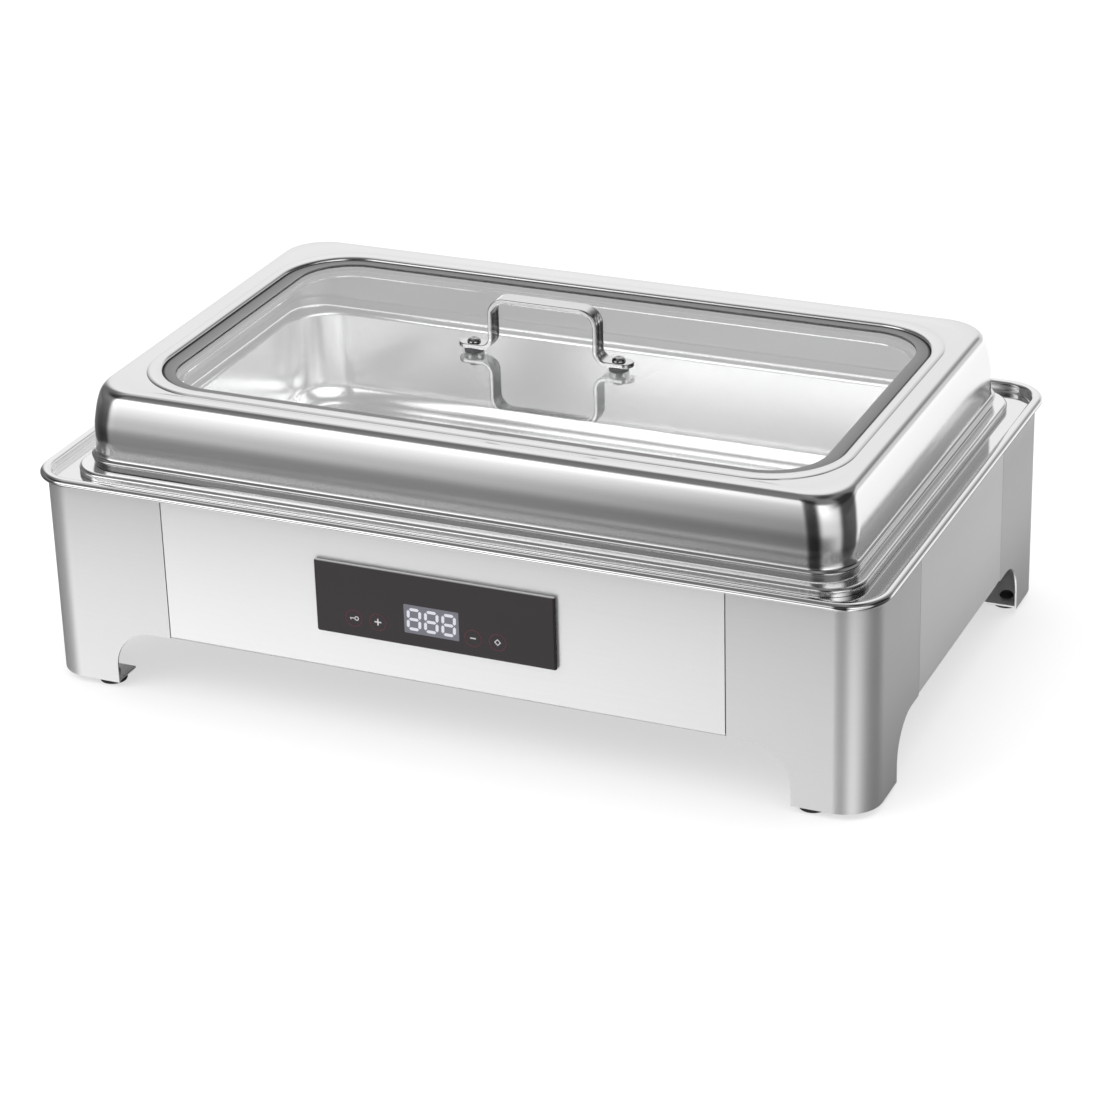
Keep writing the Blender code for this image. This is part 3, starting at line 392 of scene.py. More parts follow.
def formed_sheet(name, sections, thickness, floor=False, closed=False, faces=()):
    """Sheet metal through rounded rectangles (half_x, half_y, corner radius, z), outermost first."""
    bm = bmesh.new()
    rings = []
    for half_x, half_y, radius, z in sections:
        outline = rounded_rectangle(half_x, half_y, radius, sides=6)
        rings.append([bm.verts.new((x, y, z)) for x, y in outline])
    pairs = list(zip(rings, rings[1:]))
    if closed:
        pairs.append((rings[-1], rings[0]))
    for outer, inner in pairs:
        for i in range(len(outer)):
            j = (i + 1) % len(outer)
            bm.faces.new((outer[i], outer[j], inner[j], inner[i]))
    if floor:
        bm.faces.new(rings[-1])
    if closed:
        bmesh.ops.recalc_face_normals(bm, faces=bm.faces)
        return mesh_from(bm, name)
    helper = bpy.data.objects.new(name + "_helper", mesh_from(bm, name + "_skin"))
    bpy.context.scene.collection.objects.link(helper)
    for look in faces:
        helper.data.materials.append(looks[look])
    shell = helper.modifiers.new("sheet", "SOLIDIFY")
    shell.material_offset = 1 if faces else 0
    shell.thickness = thickness
    shell.offset = -1.0
    shell.use_even_offset = True
    shell.use_quality_normals = True
    return evaluated(helper)


def prism(name, loops, depth, facing="Z", at=(0.0, 0.0, 0.0), edge=0.0):
    """A flat outline with holes and rounded edges. Facing Y it is x and z, facing X it is y and z."""
    curve = bpy.data.curves.new(name, "CURVE")
    curve.dimensions = "2D"
    curve.fill_mode = "BOTH"
    curve.extrude = depth / 2 - edge
    curve.bevel_depth = edge
    curve.bevel_resolution = 2
    curve.offset = -edge
    for loop in loops:
        spline = curve.splines.new("POLY")
        spline.points.add(len(loop) - 1)
        for point, (x, y) in zip(spline.points, loop):
            point.co = (x, y, 0.0, 1.0)
        spline.use_cyclic_u = True
    helper = bpy.data.objects.new(name + "_helper", curve)
    bpy.context.scene.collection.objects.link(helper)
    turns = {"X": (math.pi / 2, 0.0, math.pi / 2), "Y": (math.pi / 2, 0.0, 0.0), "Z": (0.0, 0.0, 0.0)}
    helper.rotation_euler = turns[facing]
    helper.location = at
    return weld(evaluated(helper))


def boolean(mesh, others, operation):
    """The mesh joined with, cut by or limited to the others."""
    target = bpy.data.objects.new("boolean_target", mesh)
    bpy.context.scene.collection.objects.link(target)
    helpers = []
    for other in others:
        helper = bpy.data.objects.new("boolean_helper", other)
        bpy.context.scene.collection.objects.link(helper)
        helpers.append(helper)
        modifier = target.modifiers.new("boolean", "BOOLEAN")
        modifier.operation = operation
        modifier.solver = "EXACT"
        modifier.object = helper
    result = evaluated(target)
    for helper in helpers:
        bpy.data.objects.remove(helper, do_unlink=True)
    return result


def softened(mesh, width, segments=2, angle=40.0):
    """The mesh with its sharp edges rounded."""
    target = bpy.data.objects.new("bevel_target", mesh)
    bpy.context.scene.collection.objects.link(target)
    bevel = target.modifiers.new("bevel", "BEVEL")
    bevel.width = width
    bevel.segments = segments
    bevel.limit_method = "ANGLE"
    bevel.angle_limit = math.radians(angle)
    return evaluated(target)


def turned(name, profile, centre):
    """A piece turned about the vertical through its centre, from (radius, height) points."""
    sides = 40
    bm = bmesh.new()
    rings = []
    for radius, height in profile:
        outline = circle(centre.x, centre.y, radius, sides)
        rings.append([bm.verts.new((x, y, height)) for x, y in outline])
    for upper, lower in zip(rings, rings[1:]):
        for i in range(sides):
            j = (i + 1) % sides
            bm.faces.new((upper[i], lower[i], lower[j], upper[j]))
    bmesh.ops.remove_doubles(bm, verts=bm.verts, dist=SAME_POINT)
    bmesh.ops.recalc_face_normals(bm, faces=bm.faces)
    return mesh_from(bm, name)


# ------------------------------------------------------------------ lid


def middle_and_half(node):
    low, high = (Vector(corner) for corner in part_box(node))
    return (low + high) / 2, (high - low) / 2


def paint_shade_on_seal(seal, half_x, half_y, corner):
    """The seal gets painted shade, darkest in the groove beside the lid, and painted light, palest at its
    inner lip.
    """
    material = seal.data.materials[0]
    nodes = Nodes(material.node_tree)
    shader = material.node_tree.nodes["Principled BSDF"]

    def vector(operation, *values):
        return nodes.add("ShaderNodeVectorMath", dict(enumerate(values)), operation=operation)

    folded = vector("ABSOLUTE", place(nodes)).outputs[0]
    beyond = vector("SUBTRACT", folded, (half_x - corner, half_y - corner, 1.0)).outputs[0]
    beyond = vector("MAXIMUM", beyond, (0.0, 0.0, 0.0)).outputs[0]
    depth = nodes.math("SUBTRACT", corner, vector("LENGTH", beyond).outputs["Value"])
    grain = nodes.math("MULTIPLY_ADD", nodes.noise(place(nodes), 60.0, 3.0), 0.10, 0.95)
    share = nodes.math("MULTIPLY", depth, 100.0, clamp=True)
    # Painted shade in the groove by the lid, fading to painted light at the inner lip.
    painted_shade_tone = nodes.ramp(share, [(0.0, 0.02), (0.08, 0.03), (0.18, 0.14), (0.85, 0.17), (1.0, 0.24)])
    nodes.plug(nodes.scaled(painted_shade_tone, grain), shader.inputs["Base Color"])


def build_lid():
    centre, half = middle_and_half("lid_shell")
    base = centre.z - half.z
    # Inset from the flange edge, corner radius and height above the flange, in millimetres.
    wall = [
        (1.3, 23.6, 0.0),
        (1.0, 23.7, 0.4),
        (0.5, 24.0, 3.0),
        (0.0, 24.2, 5.2),
        (0.2, 24.2, 6.1),
        (0.8, 24.2, 6.6),
        (1.5, 24.3, 7.2),
        (1.9, 24.5, 8.4),
        (2.1, 24.8, 11.0),
        (2.1, 25.0, 15.5),
        (2.0, 25.2, 21.0),
        (2.2, 25.4, 27.0),
        (2.9, 25.6, 33.0),
        (3.8, 25.8, 39.0),
        (4.9, 26.0, 44.0),
        (6.0, 26.2, 47.4),
        (7.4, 26.6, 49.8),
        (9.4, 27.4, 51.4),
        (12.0, 29.0, 52.0),
        (15.0, 31.5, 51.9),
        (18.0, 34.5, 51.3),
    ]
    sections = [
        (half.x - inset * MM, half.y - inset * MM, corner * MM, base + rise * MM)
        for inset, corner, rise in wall
    ]
    # The bead around the window: inset along the length and the width, corner radius and height.
    bead = [
        (20.4, 20.2, 51.0, 50.8),
        (21.5, 21.4, 50.3, 51.3),
        (23.4, 23.5, 49.3, 51.9),
        (26.0, 27.5, 47.4, 51.8),
        (27.9, 30.6, 46.3, 50.9),
        (28.6, 31.5, 46.0, 49.5),
        (28.6, 31.5, 46.0, 46.9),
    ]
    sections += [
        (half.x - a * MM, half.y - b * MM, corner * MM, base + rise * MM)
        for a, b, corner, rise in bead
    ]
    mesh = formed_sheet("lid", smoothed(sections, 4), DRAWN_SHEET, faces=("lid", "lid_inner"))
    add_piece("lid_cover", mesh, None, "lid", ["lid_shell"])

    centre, half = middle_and_half("window_gasket")
    top, bottom = centre.z + half.z, centre.z - half.z
    corner = 45.7 * MM
    web, border = 3.5, 10.0
    lip_round, nose_round = 0.6, 0.5
    flap = 0.8 * MM

    def inset(distance, z):
        """The seal's flaps are narrower on the long sides than at the ends."""
        across = min(distance, web) + 0.5 * max(distance - web, 0.0)
        return (half.x - distance * MM, half.y - across * MM, corner - distance * MM, z)

    quarter = (0.0, 0.5, 1.0, 1.57)
    lip = [
        inset(lip_round * (1 - math.sin(a)), top - lip_round * MM * (1 - math.cos(a)))
        for a in reversed(quarter)
    ]
    nose = [
        inset(border - nose_round * (1 - math.sin(a)), top - nose_round * MM * (1 - math.cos(a)))
        for a in quarter
    ]
    gasket = [inset(0.0, bottom), *lip, *nose]
    gasket += [inset(border, top - flap), inset(web, top - flap)]
    gasket += [inset(web, bottom + flap), inset(border, bottom + flap), inset(border, bottom)]
    mesh = formed_sheet("gasket", gasket, 0.0, closed=True)
    seal = add_piece("window_seal", mesh, "seal", "lid", ["window_gasket"])
    paint_shade_on_seal(seal, half.x, half.y, corner)

    centre, half = middle_and_half("window_glass")
    pane_corner = 41.9 * MM
    screw_hole = 3.5 * MM
    outline = rounded_rectangle(half.x, half.y, pane_corner, 24)
    screw_x = middle_and_half("handle_screw_right")[0].x
    holes = [circle(sign * screw_x, 0.0, screw_hole) for sign in (-1, 1)]
    mesh = prism("pane", [outline, *holes], 2 * half.z, at=(0, 0, centre.z), edge=0.4 * MM)
    add_piece("window_pane", mesh, "window", "lid", ["window_glass"])

    centre, half = middle_and_half("glass_retainer")
    top = centre.z + half.z
    corner = 55.0 * MM
    # Inset from the retainer's edge and drop below its flange, in millimetres.
    steps = [(0, 0), (6.5, 0), (7.3, 0.8), (7.3, 5.4), (8.1, 6.2), (22.5, 6.2)]
    sections = [
        (half.x - a * MM, half.y - a * MM, corner - a * MM, top - drop * MM) for a, drop in steps
    ]
    mesh = formed_sheet("retainer", sections, DRAWN_SHEET)
    add_piece("window_retainer", mesh, "rim", "lid", ["glass_retainer"])


# ------------------------------------------------------------------ handle


def build_handle():
    centre, half = middle_and_half("handle")
    top = centre.z + half.z
    foot_bottom = centre.z - half.z
    end = half.x
    width = 2 * half.y
    strap = 3.2 * MM
    leg = 36.4 * MM
    outer_bend = 12.0 * MM
    foot_bend = 7.5 * MM
    overrun = 1 * MM
    hole_radius = 2.6 * MM
    hole_depth = 20 * MM
    worn_edge = 0.9 * MM
    screw_x = middle_and_half("handle_screw_right")[0].x
    turn = (leg + foot_bend, foot_bottom + strap / 2 + foot_bend)
    bend = (leg + strap / 2 - outer_bend, top - outer_bend)
    upper = [(end + overrun, foot_bottom), (end + overrun, foot_bottom + strap)]
    upper += arc(*turn, foot_bend - strap / 2, 270.0, 180.0, 16)
    upper += arc(*bend, outer_bend, 0.0, 90.0, 20)
    lower = arc(*bend, outer_bend - strap, 90.0, 0.0, 16)
    lower += arc(*turn, foot_bend + strap / 2, 180.0, 270.0, 16)
    outline = upper + [(-x, z) for x, z in reversed(upper)]
    outline += [(-x, z) for x, z in reversed(lower)] + lower
    strip = prism("handle", [outline], 2 * width, "Y")
    tab = width / 2
    plan = arc(end - tab, 0.0, tab, -90.0, 90.0, 24) + arc(tab - end, 0.0, tab, 90.0, 270.0, 24)
    limits = prism("handle_plan", [plan], 200 * MM, at=(0, 0, top))
    strip = boolean(strip, [limits], "INTERSECT")
    drill = [
        prism("drill", [circle(sign * screw_x, 0.0, hole_radius)], hole_depth, at=(0, 0, foot_bottom))
        for sign in (-1, 1)
    ]
    strip = boolean(strip, drill, "DIFFERENCE")
    strip = softened(weld(strip), worn_edge, 3, 50.0)
    add_piece("bridge_handle", strip, "chrome", "lid", ["handle"])

    for side in ("left", "right"):
        centre, half = middle_and_half(f"handle_spacer_{side}")
        outer, inner = half.x, 2.8 * MM
        round_off = 0.5 * MM
        low, high = centre.z - half.z, centre.z + half.z
        profile = [
            (inner, high),
            (outer - round_off, high),
            (outer, high - round_off),
            (outer, low + round_off),
            (outer - round_off, low),
            (inner, low),
            (inner, high),
        ]
        mesh = turned("spacer", profile, centre)
        name = f"handle_spacer_{side}"
        add_piece(f"spacer_{side}", mesh, "silicone", "lid", [name])

        centre, half = middle_and_half(f"handle_screw_{side}")
        crown = centre.z + half.z
        low = centre.z - half.z
        under = foot_bottom + strap + 0.3 * MM
        dome = crown - under
        head, shank = 4.5 * MM, 2.2 * MM
        profile = [(head * math.sin(a), under + dome * math.cos(a)) for a in (0, 0.3, 0.6, 0.9, 1.2, 1.4)]
        profile += [(head, under), (shank, under), (shank, low), (0.0, low)]
        mesh = turned("screw", profile, centre)
        slot_length, slot_width, slot_corner, slot_depth = 3.0 * MM, 0.7 * MM, 0.3 * MM, 1.0 * MM
        slots = []
        for size in ((slot_length, slot_width), (slot_width, slot_length)):
            bar = rounded_rectangle(size[0] / 2, size[1] / 2, slot_corner, 3, (centre.x, centre.y))
            slots.append(prism("slot", [bar], slot_depth, at=(0, 0, crown)))
        mesh = boolean(mesh, slots, "DIFFERENCE")
        name = f"handle_screw_{side}"
        add_piece(f"cross_screw_{side}", mesh, "screw", "lid", [name])


# ------------------------------------------------------------------ pans


def bend(half_x, corner, z, width, height, start, end, steps):
    """A formed bend: half lengths, corner radii and heights along an elliptical arc."""
    points = []
    for step in range(steps + 1):
        angle = math.radians(start + (end - start) * step / steps)
        outward = width * math.cos(angle)
        points.append((half_x + outward, corner + outward, z + height * math.sin(angle)))
    return points


def build_pans():
    centre, half = middle_and_half("water_pan")
    aspect = half.x - half.y
    top = centre.z + half.z
    floor = centre.z - half.z + DRAWN_SHEET
    roll_width, roll_height = 3.8 * MM, 2.7 * MM
    roll_x = half.x - roll_width
    roll_corner = 25.1 * MM
    ledge = top - 6.3 * MM
    to_ledge = 5.3 * MM
    ledge_bend, well_bend, floor_bend = 1.5 * MM, 4.0 * MM, 12.0 * MM
    well_top, well_floor = (260.0 * MM, 34.0 * MM), (243.0 * MM, 18.0 * MM)
    profile = bend(roll_x, roll_corner, top - roll_height, roll_width, roll_height, -110, 180, 28)
    at_ledge = (roll_x - to_ledge, roll_corner - to_ledge, ledge + ledge_bend)
    profile += bend(*at_ledge, ledge_bend, ledge_bend, 0, -90, 5)
    profile += bend(*well_top, ledge - well_bend, well_bend, well_bend, 90, 180, 8)
    profile += bend(*well_floor, floor + floor_bend, floor_bend, floor_bend, 0, -90, 10)
    sections = [(a, a - aspect, r, z) for a, r, z in profile]
    mesh = formed_sheet("water_pan", sections, DRAWN_SHEET, floor=True)
    add_piece("water_pan_shell", mesh, "rim", "stand", ["water_pan"])

    centre, half = middle_and_half("food_pan")
    aspect = half.x - half.y
    top = centre.z + half.z
    bottom = centre.z - half.z + DRAWN_SHEET
    edge = half.x
    hem_drop = 4.8 * MM
    edge_bend, well_bend, floor_bend = 2.5 * MM, 3.0 * MM, 14.0 * MM
    well_top, well_floor = edge - 12.0 * MM, edge - 31.5 * MM
    profile = [(edge, 24.0 * MM, top - hem_drop)]
    profile += bend(edge - edge_bend, 21.5 * MM, top - edge_bend, edge_bend, edge_bend, 0, 90, 8)
    profile += [(edge - 7.0 * MM, 27.0 * MM, top)]
    profile += bend(well_top, 38.0 * MM, top - well_bend, well_bend, well_bend, 90, 180, 8)
    profile += bend(well_floor, 20.0 * MM, bottom + floor_bend, floor_bend, floor_bend, 0, -90, 14)
    sections = [(a, a - aspect, r, z) for a, r, z in profile]
    mesh = formed_sheet("food_pan", sections, DRAWN_SHEET, floor=True)
    add_piece("food_pan_shell", mesh, "pan", "food_pan", ["food_pan"])


# ------------------------------------------------------------------ stand


def leg_plan(start_x, start_y, outer_x, outer_y, inset):
    """The wall of a leg in plan: two arms that meet in a rounded corner."""
    far_x, far_y = outer_x - inset, outer_y - inset
    radius = STAND_CORNER - inset
    near_x, near_y = far_x - FOLDED_SHEET, far_y - FOLDED_SHEET
    outer = arc(far_x - radius, far_y - radius, radius, 0.0, 90.0, 20)
    inner = arc(far_x - radius, far_y - radius, radius - FOLDED_SHEET, 90.0, 0.0, 20)
    return [(far_x, start_y), *outer, (start_x, far_y), (start_x, near_y), *inner, (near_x, start_y)]


def build_legs():
    centre, half = middle_and_half("leg_back_right")
    apron_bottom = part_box("apron_front")[0][2]
    outer_x, outer_y = centre.x + half.x, centre.y + half.y
    lap = 0.3 * MM
    start_x, start_y = centre.x - half.x - lap, centre.y - half.y - lap
    low, high = centre.z - half.z, centre.z + half.z
    toe_x, toe_y = 230.0 * MM, 126.5 * MM
    overrun, cutter_depth = 5 * MM, 12 * MM
    plan = leg_plan(start_x, start_y, outer_x, outer_y, 0.0)
    wall = prism("leg_wall", [plan], high - low, at=(0, 0, (low + high) / 2))

    def arch(start, toe):
        corner = arc(toe - LEG_ARCH, apron_bottom - LEG_ARCH, LEG_ARCH, 0.0, 90.0, 32)
        return [(start - overrun, -overrun), (toe, -overrun), *corner, (start - overrun, apron_bottom)]

    cutters = [
        prism("arch_long", [arch(start_x, toe_x)], cutter_depth, "Y", (0, outer_y, 0)),
        prism("arch_short", [arch(start_y, toe_y)], cutter_depth, "X", (outer_x, 0, 0)),
    ]
    wall = softened(weld(boolean(wall, cutters, "DIFFERENCE")), 0.5 * MM, 3, 50.0)
    width = 22.0 * MM
    behind_wall = 0.05 * MM
    gap = 0.3 * MM
    sole_sheet = 1.5 * MM
    foot_hole = 4.0 * MM
    sole_x = outer_x - FOLDED_SHEET - behind_wall
    sole_y = outer_y - FOLDED_SHEET - behind_wall
    radius = STAND_CORNER - FOLDED_SHEET
    corner = arc(sole_x - radius, sole_y - radius, radius, 0.0, 90.0, 16)
    sole_plan = [
        (sole_x, toe_y + gap),
        *corner,
        (toe_x + gap, sole_y),
        (toe_x + gap, outer_y - width),
        (outer_x - width, outer_y - width),
        (outer_x - width, toe_y + gap),
    ]
    feet = [middle_and_half(f"foot_back_right_{side}")[0] for side in ("long", "short")]
    holes = [circle(foot.x, foot.y, foot_hole, 32) for foot in feet]
    sole_z = low + gap + sole_sheet / 2
    sole = prism("leg_sole", [sole_plan, *holes], sole_sheet, at=(0, 0, sole_z), edge=0.3 * MM)
    both = bmesh.new()
    both.from_mesh(wall)
    both.from_mesh(sole)
    for end, sign_y in (("front", -1), ("back", 1)):
        for side, sign_x in (("left", -1), ("right", 1)):
            bm = both.copy()
            bmesh.ops.transform(bm, matrix=Matrix.Diagonal((sign_x, sign_y, 1, 1)), verts=bm.verts)
            if sign_x * sign_y < 0:
                bmesh.ops.reverse_faces(bm, faces=bm.faces)
            node = f"leg_{end}_{side}"
            mesh = mesh_from(bm, node)
            add_piece(f"corner_leg_{end}_{side}", mesh, "leg", "stand", [node])
    both.free()


def apron_section(face, bottom, top):
    """An apron from its end: a rounded top hem and a flange folded inwards along the bottom."""
    inner = face - FOLDED_SHEET
    reach = 12.0 * MM
    fold = 2.0 * MM
    hem = 0.6 * MM
    outer_fold = arc(face - fold, bottom + fold, fold, -90.0, 0.0, 10)
    inner_fold = arc(inner - fold / 2, bottom + FOLDED_SHEET + fold / 2, fold / 2, 0.0, -90.0, 8)
    hem_round = arc(face - hem, top - hem, hem, 0.0, 180.0, 8)
    lower_lip, upper_lip = (face - reach, bottom), (face - reach, bottom + FOLDED_SHEET)
    return [lower_lip, *outer_fold, *hem_round, *inner_fold, upper_lip]


def build_aprons():
    # The part behind each opening, and half the opening's width and height.
    openings = {
        "front": ("control_glass", 72.0 * MM, 17.5 * MM),
        "back": ("power_inlet", 14.5 * MM, 10.5 * MM),
    }
    opening_corner = 1.0 * MM
    inlet_screw_hole, cover_screw_hole = 1.9 * MM, 2.3 * MM
    wall_depth, flange_depth = 20.0 * MM, 8.0 * MM
    for side in ("front", "back", "left", "right"):
        node = f"apron_{side}"
        centre, half = middle_and_half(node)
        bottom, top = centre.z - half.z, centre.z + half.z
        along_x = side in ("front", "back")
        across, reach = (centre.y, half.y) if along_x else (centre.x, half.x)
        length = 2 * (half.x if along_x else half.y)
        section = apron_section(abs(across) + reach, bottom, top)
        if across < 0:
            section = [(-u, z) for u, z in reversed(section)]
        mesh = prism(node, [section], length, "X" if along_x else "Y")
        cutters = []
        if side in openings:
            behind, half_width, half_height = openings[side]
            spot = middle_and_half(behind)[0]
            hole = rounded_rectangle(half_width, half_height, opening_corner, 4, (spot.x, spot.z))
            cutters.append(prism("hole", [hole], wall_depth, "Y", (0, spot.y, 0)))
        if side == "back":
            for screw in ("inlet_screw_left", "inlet_screw_right"):
                at = middle_and_half(screw)[0]
                hole = circle(at.x, at.z, inlet_screw_hole, 24)
                cutters.append(prism("hole", [hole], wall_depth, "Y", (0, spot.y, 0)))
        for screw in [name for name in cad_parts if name.startswith(f"cover_screw_{side}")]:
            at = middle_and_half(screw)[0]
            hole = circle(at.x, at.y, cover_screw_hole, 24)
            cutters.append(prism("hole", [hole], flange_depth, at=(0, 0, bottom)))
        mesh = softened(weld(boolean(mesh, cutters, "DIFFERENCE")), 0.25 * MM, 2, 60.0)
        add_piece(f"sheet_apron_{side}", mesh, "apron", "stand", [node])


def build_feet():
    """Push-through rubber feet: a wide pad under the sole, a neck in its hole and a barb above it."""
    pad_height, neck_height = 4.0 * MM, 2.1 * MM
    neck_radius, barb_radius = 3.5 * MM, 4.6 * MM
    for end in ("front", "back"):
        for side in ("left", "right"):
            for edge in ("long", "short"):
                node = f"foot_{end}_{side}_{edge}"
                centre, half = middle_and_half(node)
                low, high = centre.z - half.z, centre.z + half.z
                radius = half.x
                pad = low + pad_height
                neck = pad + neck_height
                profile = [(0.0, high), (2.4 * MM, high), (3.4 * MM, high - 0.4 * MM)]
                profile += [(barb_radius, neck + 0.6 * MM), (barb_radius, neck), (neck_radius, neck)]
                profile += [(neck_radius, pad), (radius - 0.5 * MM, pad), (radius, pad - 0.5 * MM)]
                profile += [(radius, low + 1.2 * MM), (radius - 0.4 * MM, low + 0.4 * MM)]
                profile += [(radius - 1.2 * MM, low), (0.0, low)]
                mesh = turned("foot", profile, centre)
                add_piece(f"rubber_{node}", mesh, "rubber", "stand", [node])


# ------------------------------------------------------------------ control panel


# Each bar of a digit: its place across and up in half digits, and whether it lies level.
SEGMENTS = {
    "top": (0.0, 1.0, True),
    "upper_left": (-1.0, 0.5, False),
    "upper_right": (1.0, 0.5, False),
    "middle": (0.0, 0.0, True),
    "lower_left": (-1.0, -0.5, False),
    "lower_right": (1.0, -0.5, False),
    "bottom": (0.0, -1.0, True),
}


def build_panel():
    centre, half = middle_and_half("control_glass")
    outline = rounded_rectangle(half.x, half.z, 1.5 * MM, 8, (centre.x, centre.z))
    mesh = prism("panel", [outline], 2 * half.y, "Y", (0, centre.y, 0), edge=1.3 * MM)
    add_piece("touch_panel", mesh, "panel", "stand", ["control_glass"])
    face = centre.y - half.y

    def printed(name, loops, look, proud=0.06 * MM, thickness=0.06 * MM):
        place_y = face - proud + thickness / 2
        mesh = prism(name, loops, thickness, "Y", (0, place_y, 0))
        add_piece(name, mesh, look, "stand", smooth=False)

    module = middle_and_half("display_module")[0]
    window = rounded_rectangle(18.5 * MM, 9.65 * MM, 0.6 * MM, 4, (module.x, module.z))
    printed("display_window", [window], "display")
    digit_half_x, digit_half_z = 3.9 * MM, 6.6 * MM
    digit_pitch = 11.7 * MM
    stroke, joint_gap = 1.0 * MM, 0.55 * MM
    slant = 0.04
    loops = []
    for column in (-1, 0, 1):
        origin = module.x + column * digit_pitch
        for across, up, level in SEGMENTS.values():
            mid_x = across * digit_half_x
            mid_z = up * digit_half_z
            reach = (digit_half_x if level else digit_half_z / 2) - joint_gap
            corners = [(-reach, 0.0), (-reach + stroke, stroke), (reach - stroke, stroke)]
            corners += [(reach, 0.0), (reach - stroke, -stroke), (-reach + stroke, -stroke)]
            if not level:
                corners = [(z, x) for x, z in corners]
            points = []
            for x, z in corners:
                local_x, local_z = mid_x + x, mid_z + z
                points.append((origin + local_x + slant * local_z, module.z + local_z))
            loops.append(points)
    printed("display_digits", loops, "lit", proud=0.10 * MM, thickness=0.04 * MM)

    below_middle = 11.9 * MM
    level = centre.z - below_middle
    ring_radii = (5.9 * MM, 5.1 * MM)
    rings = [circle(x * MM, level, radius, 64) for x in KEY_CENTRES.values() for radius in ring_radii]
    printed("key_rings", rings, "ring")

    def bar(x, z, half_x, half_z):
        radius = min(half_x, half_z) * 0.4 * MM
        return rounded_rectangle(half_x * MM, half_z * MM, radius, 3, (x * MM, level + z * MM))

    marks = []
    lock = KEY_CENTRES["lock"]
    marks += [circle((lock + 1.9) * MM, level, 1.5 * MM, 32), circle((lock + 1.9) * MM, level, 0.9 * MM, 32)]
    marks.append(bar(lock - 1.2, 0.0, 1.5, 0.3))
    marks.append(bar(lock - 2.1, -0.75, 0.3, 0.42))
    plus = KEY_CENTRES["plus"]
    arm, thick = 2.3, 0.45
    cross = [(arm, thick), (thick, thick), (thick, arm), (-thick, arm), (-thick, thick), (-arm, thick)]
    cross += [(-x, -z) for x, z in cross]
    marks.append([((plus + x) * MM, level + z * MM) for x, z in cross])
    marks.append(bar(KEY_CENTRES["minus"], 0.0, 1.9, 0.4))
    power = KEY_CENTRES["power"]
    diamond = ((1, 0), (0, 1), (-1, 0), (0, -1))
    for size in (2.3, 1.5):
        marks.append([((power + x * size) * MM, level + z * size * MM) for x, z in diamond])
    printed("key_marks", marks, "mark")


# ------------------------------------------------------------------ pieces kept from the CAD


def dress_kept_nodes():
    kept = {
        "top_frame": "inner",
        "bottom_cover": "dark_steel",
        "heater_tray": "inner",
        "heating_plate": "aluminium",
        "heating_element": "dark_steel",
        "insulation_mat": "wool",
        "thermal_cutout": "plastic",
        "temperature_probe": "screw",
        "control_housing": "plastic",
        "control_board": "board",
        "display_module": "plastic",
        "power_board": "board",
        "power_inlet": "plastic",
        "mains_cable": "plastic",
        "panel_cable": "plastic",
        "handle_nut_left": "inner",
        "handle_nut_right": "inner",
        "inlet_screw_left": "screw",
        "inlet_screw_right": "screw",
    }
    for name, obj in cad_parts.items():
        look = "screw" if name.startswith("cover_screw") else kept.get(name)
        if look is None:
            continue
        obj.data.materials.clear()
        obj.data.materials.append(looks[look])


# ------------------------------------------------------------------ studio


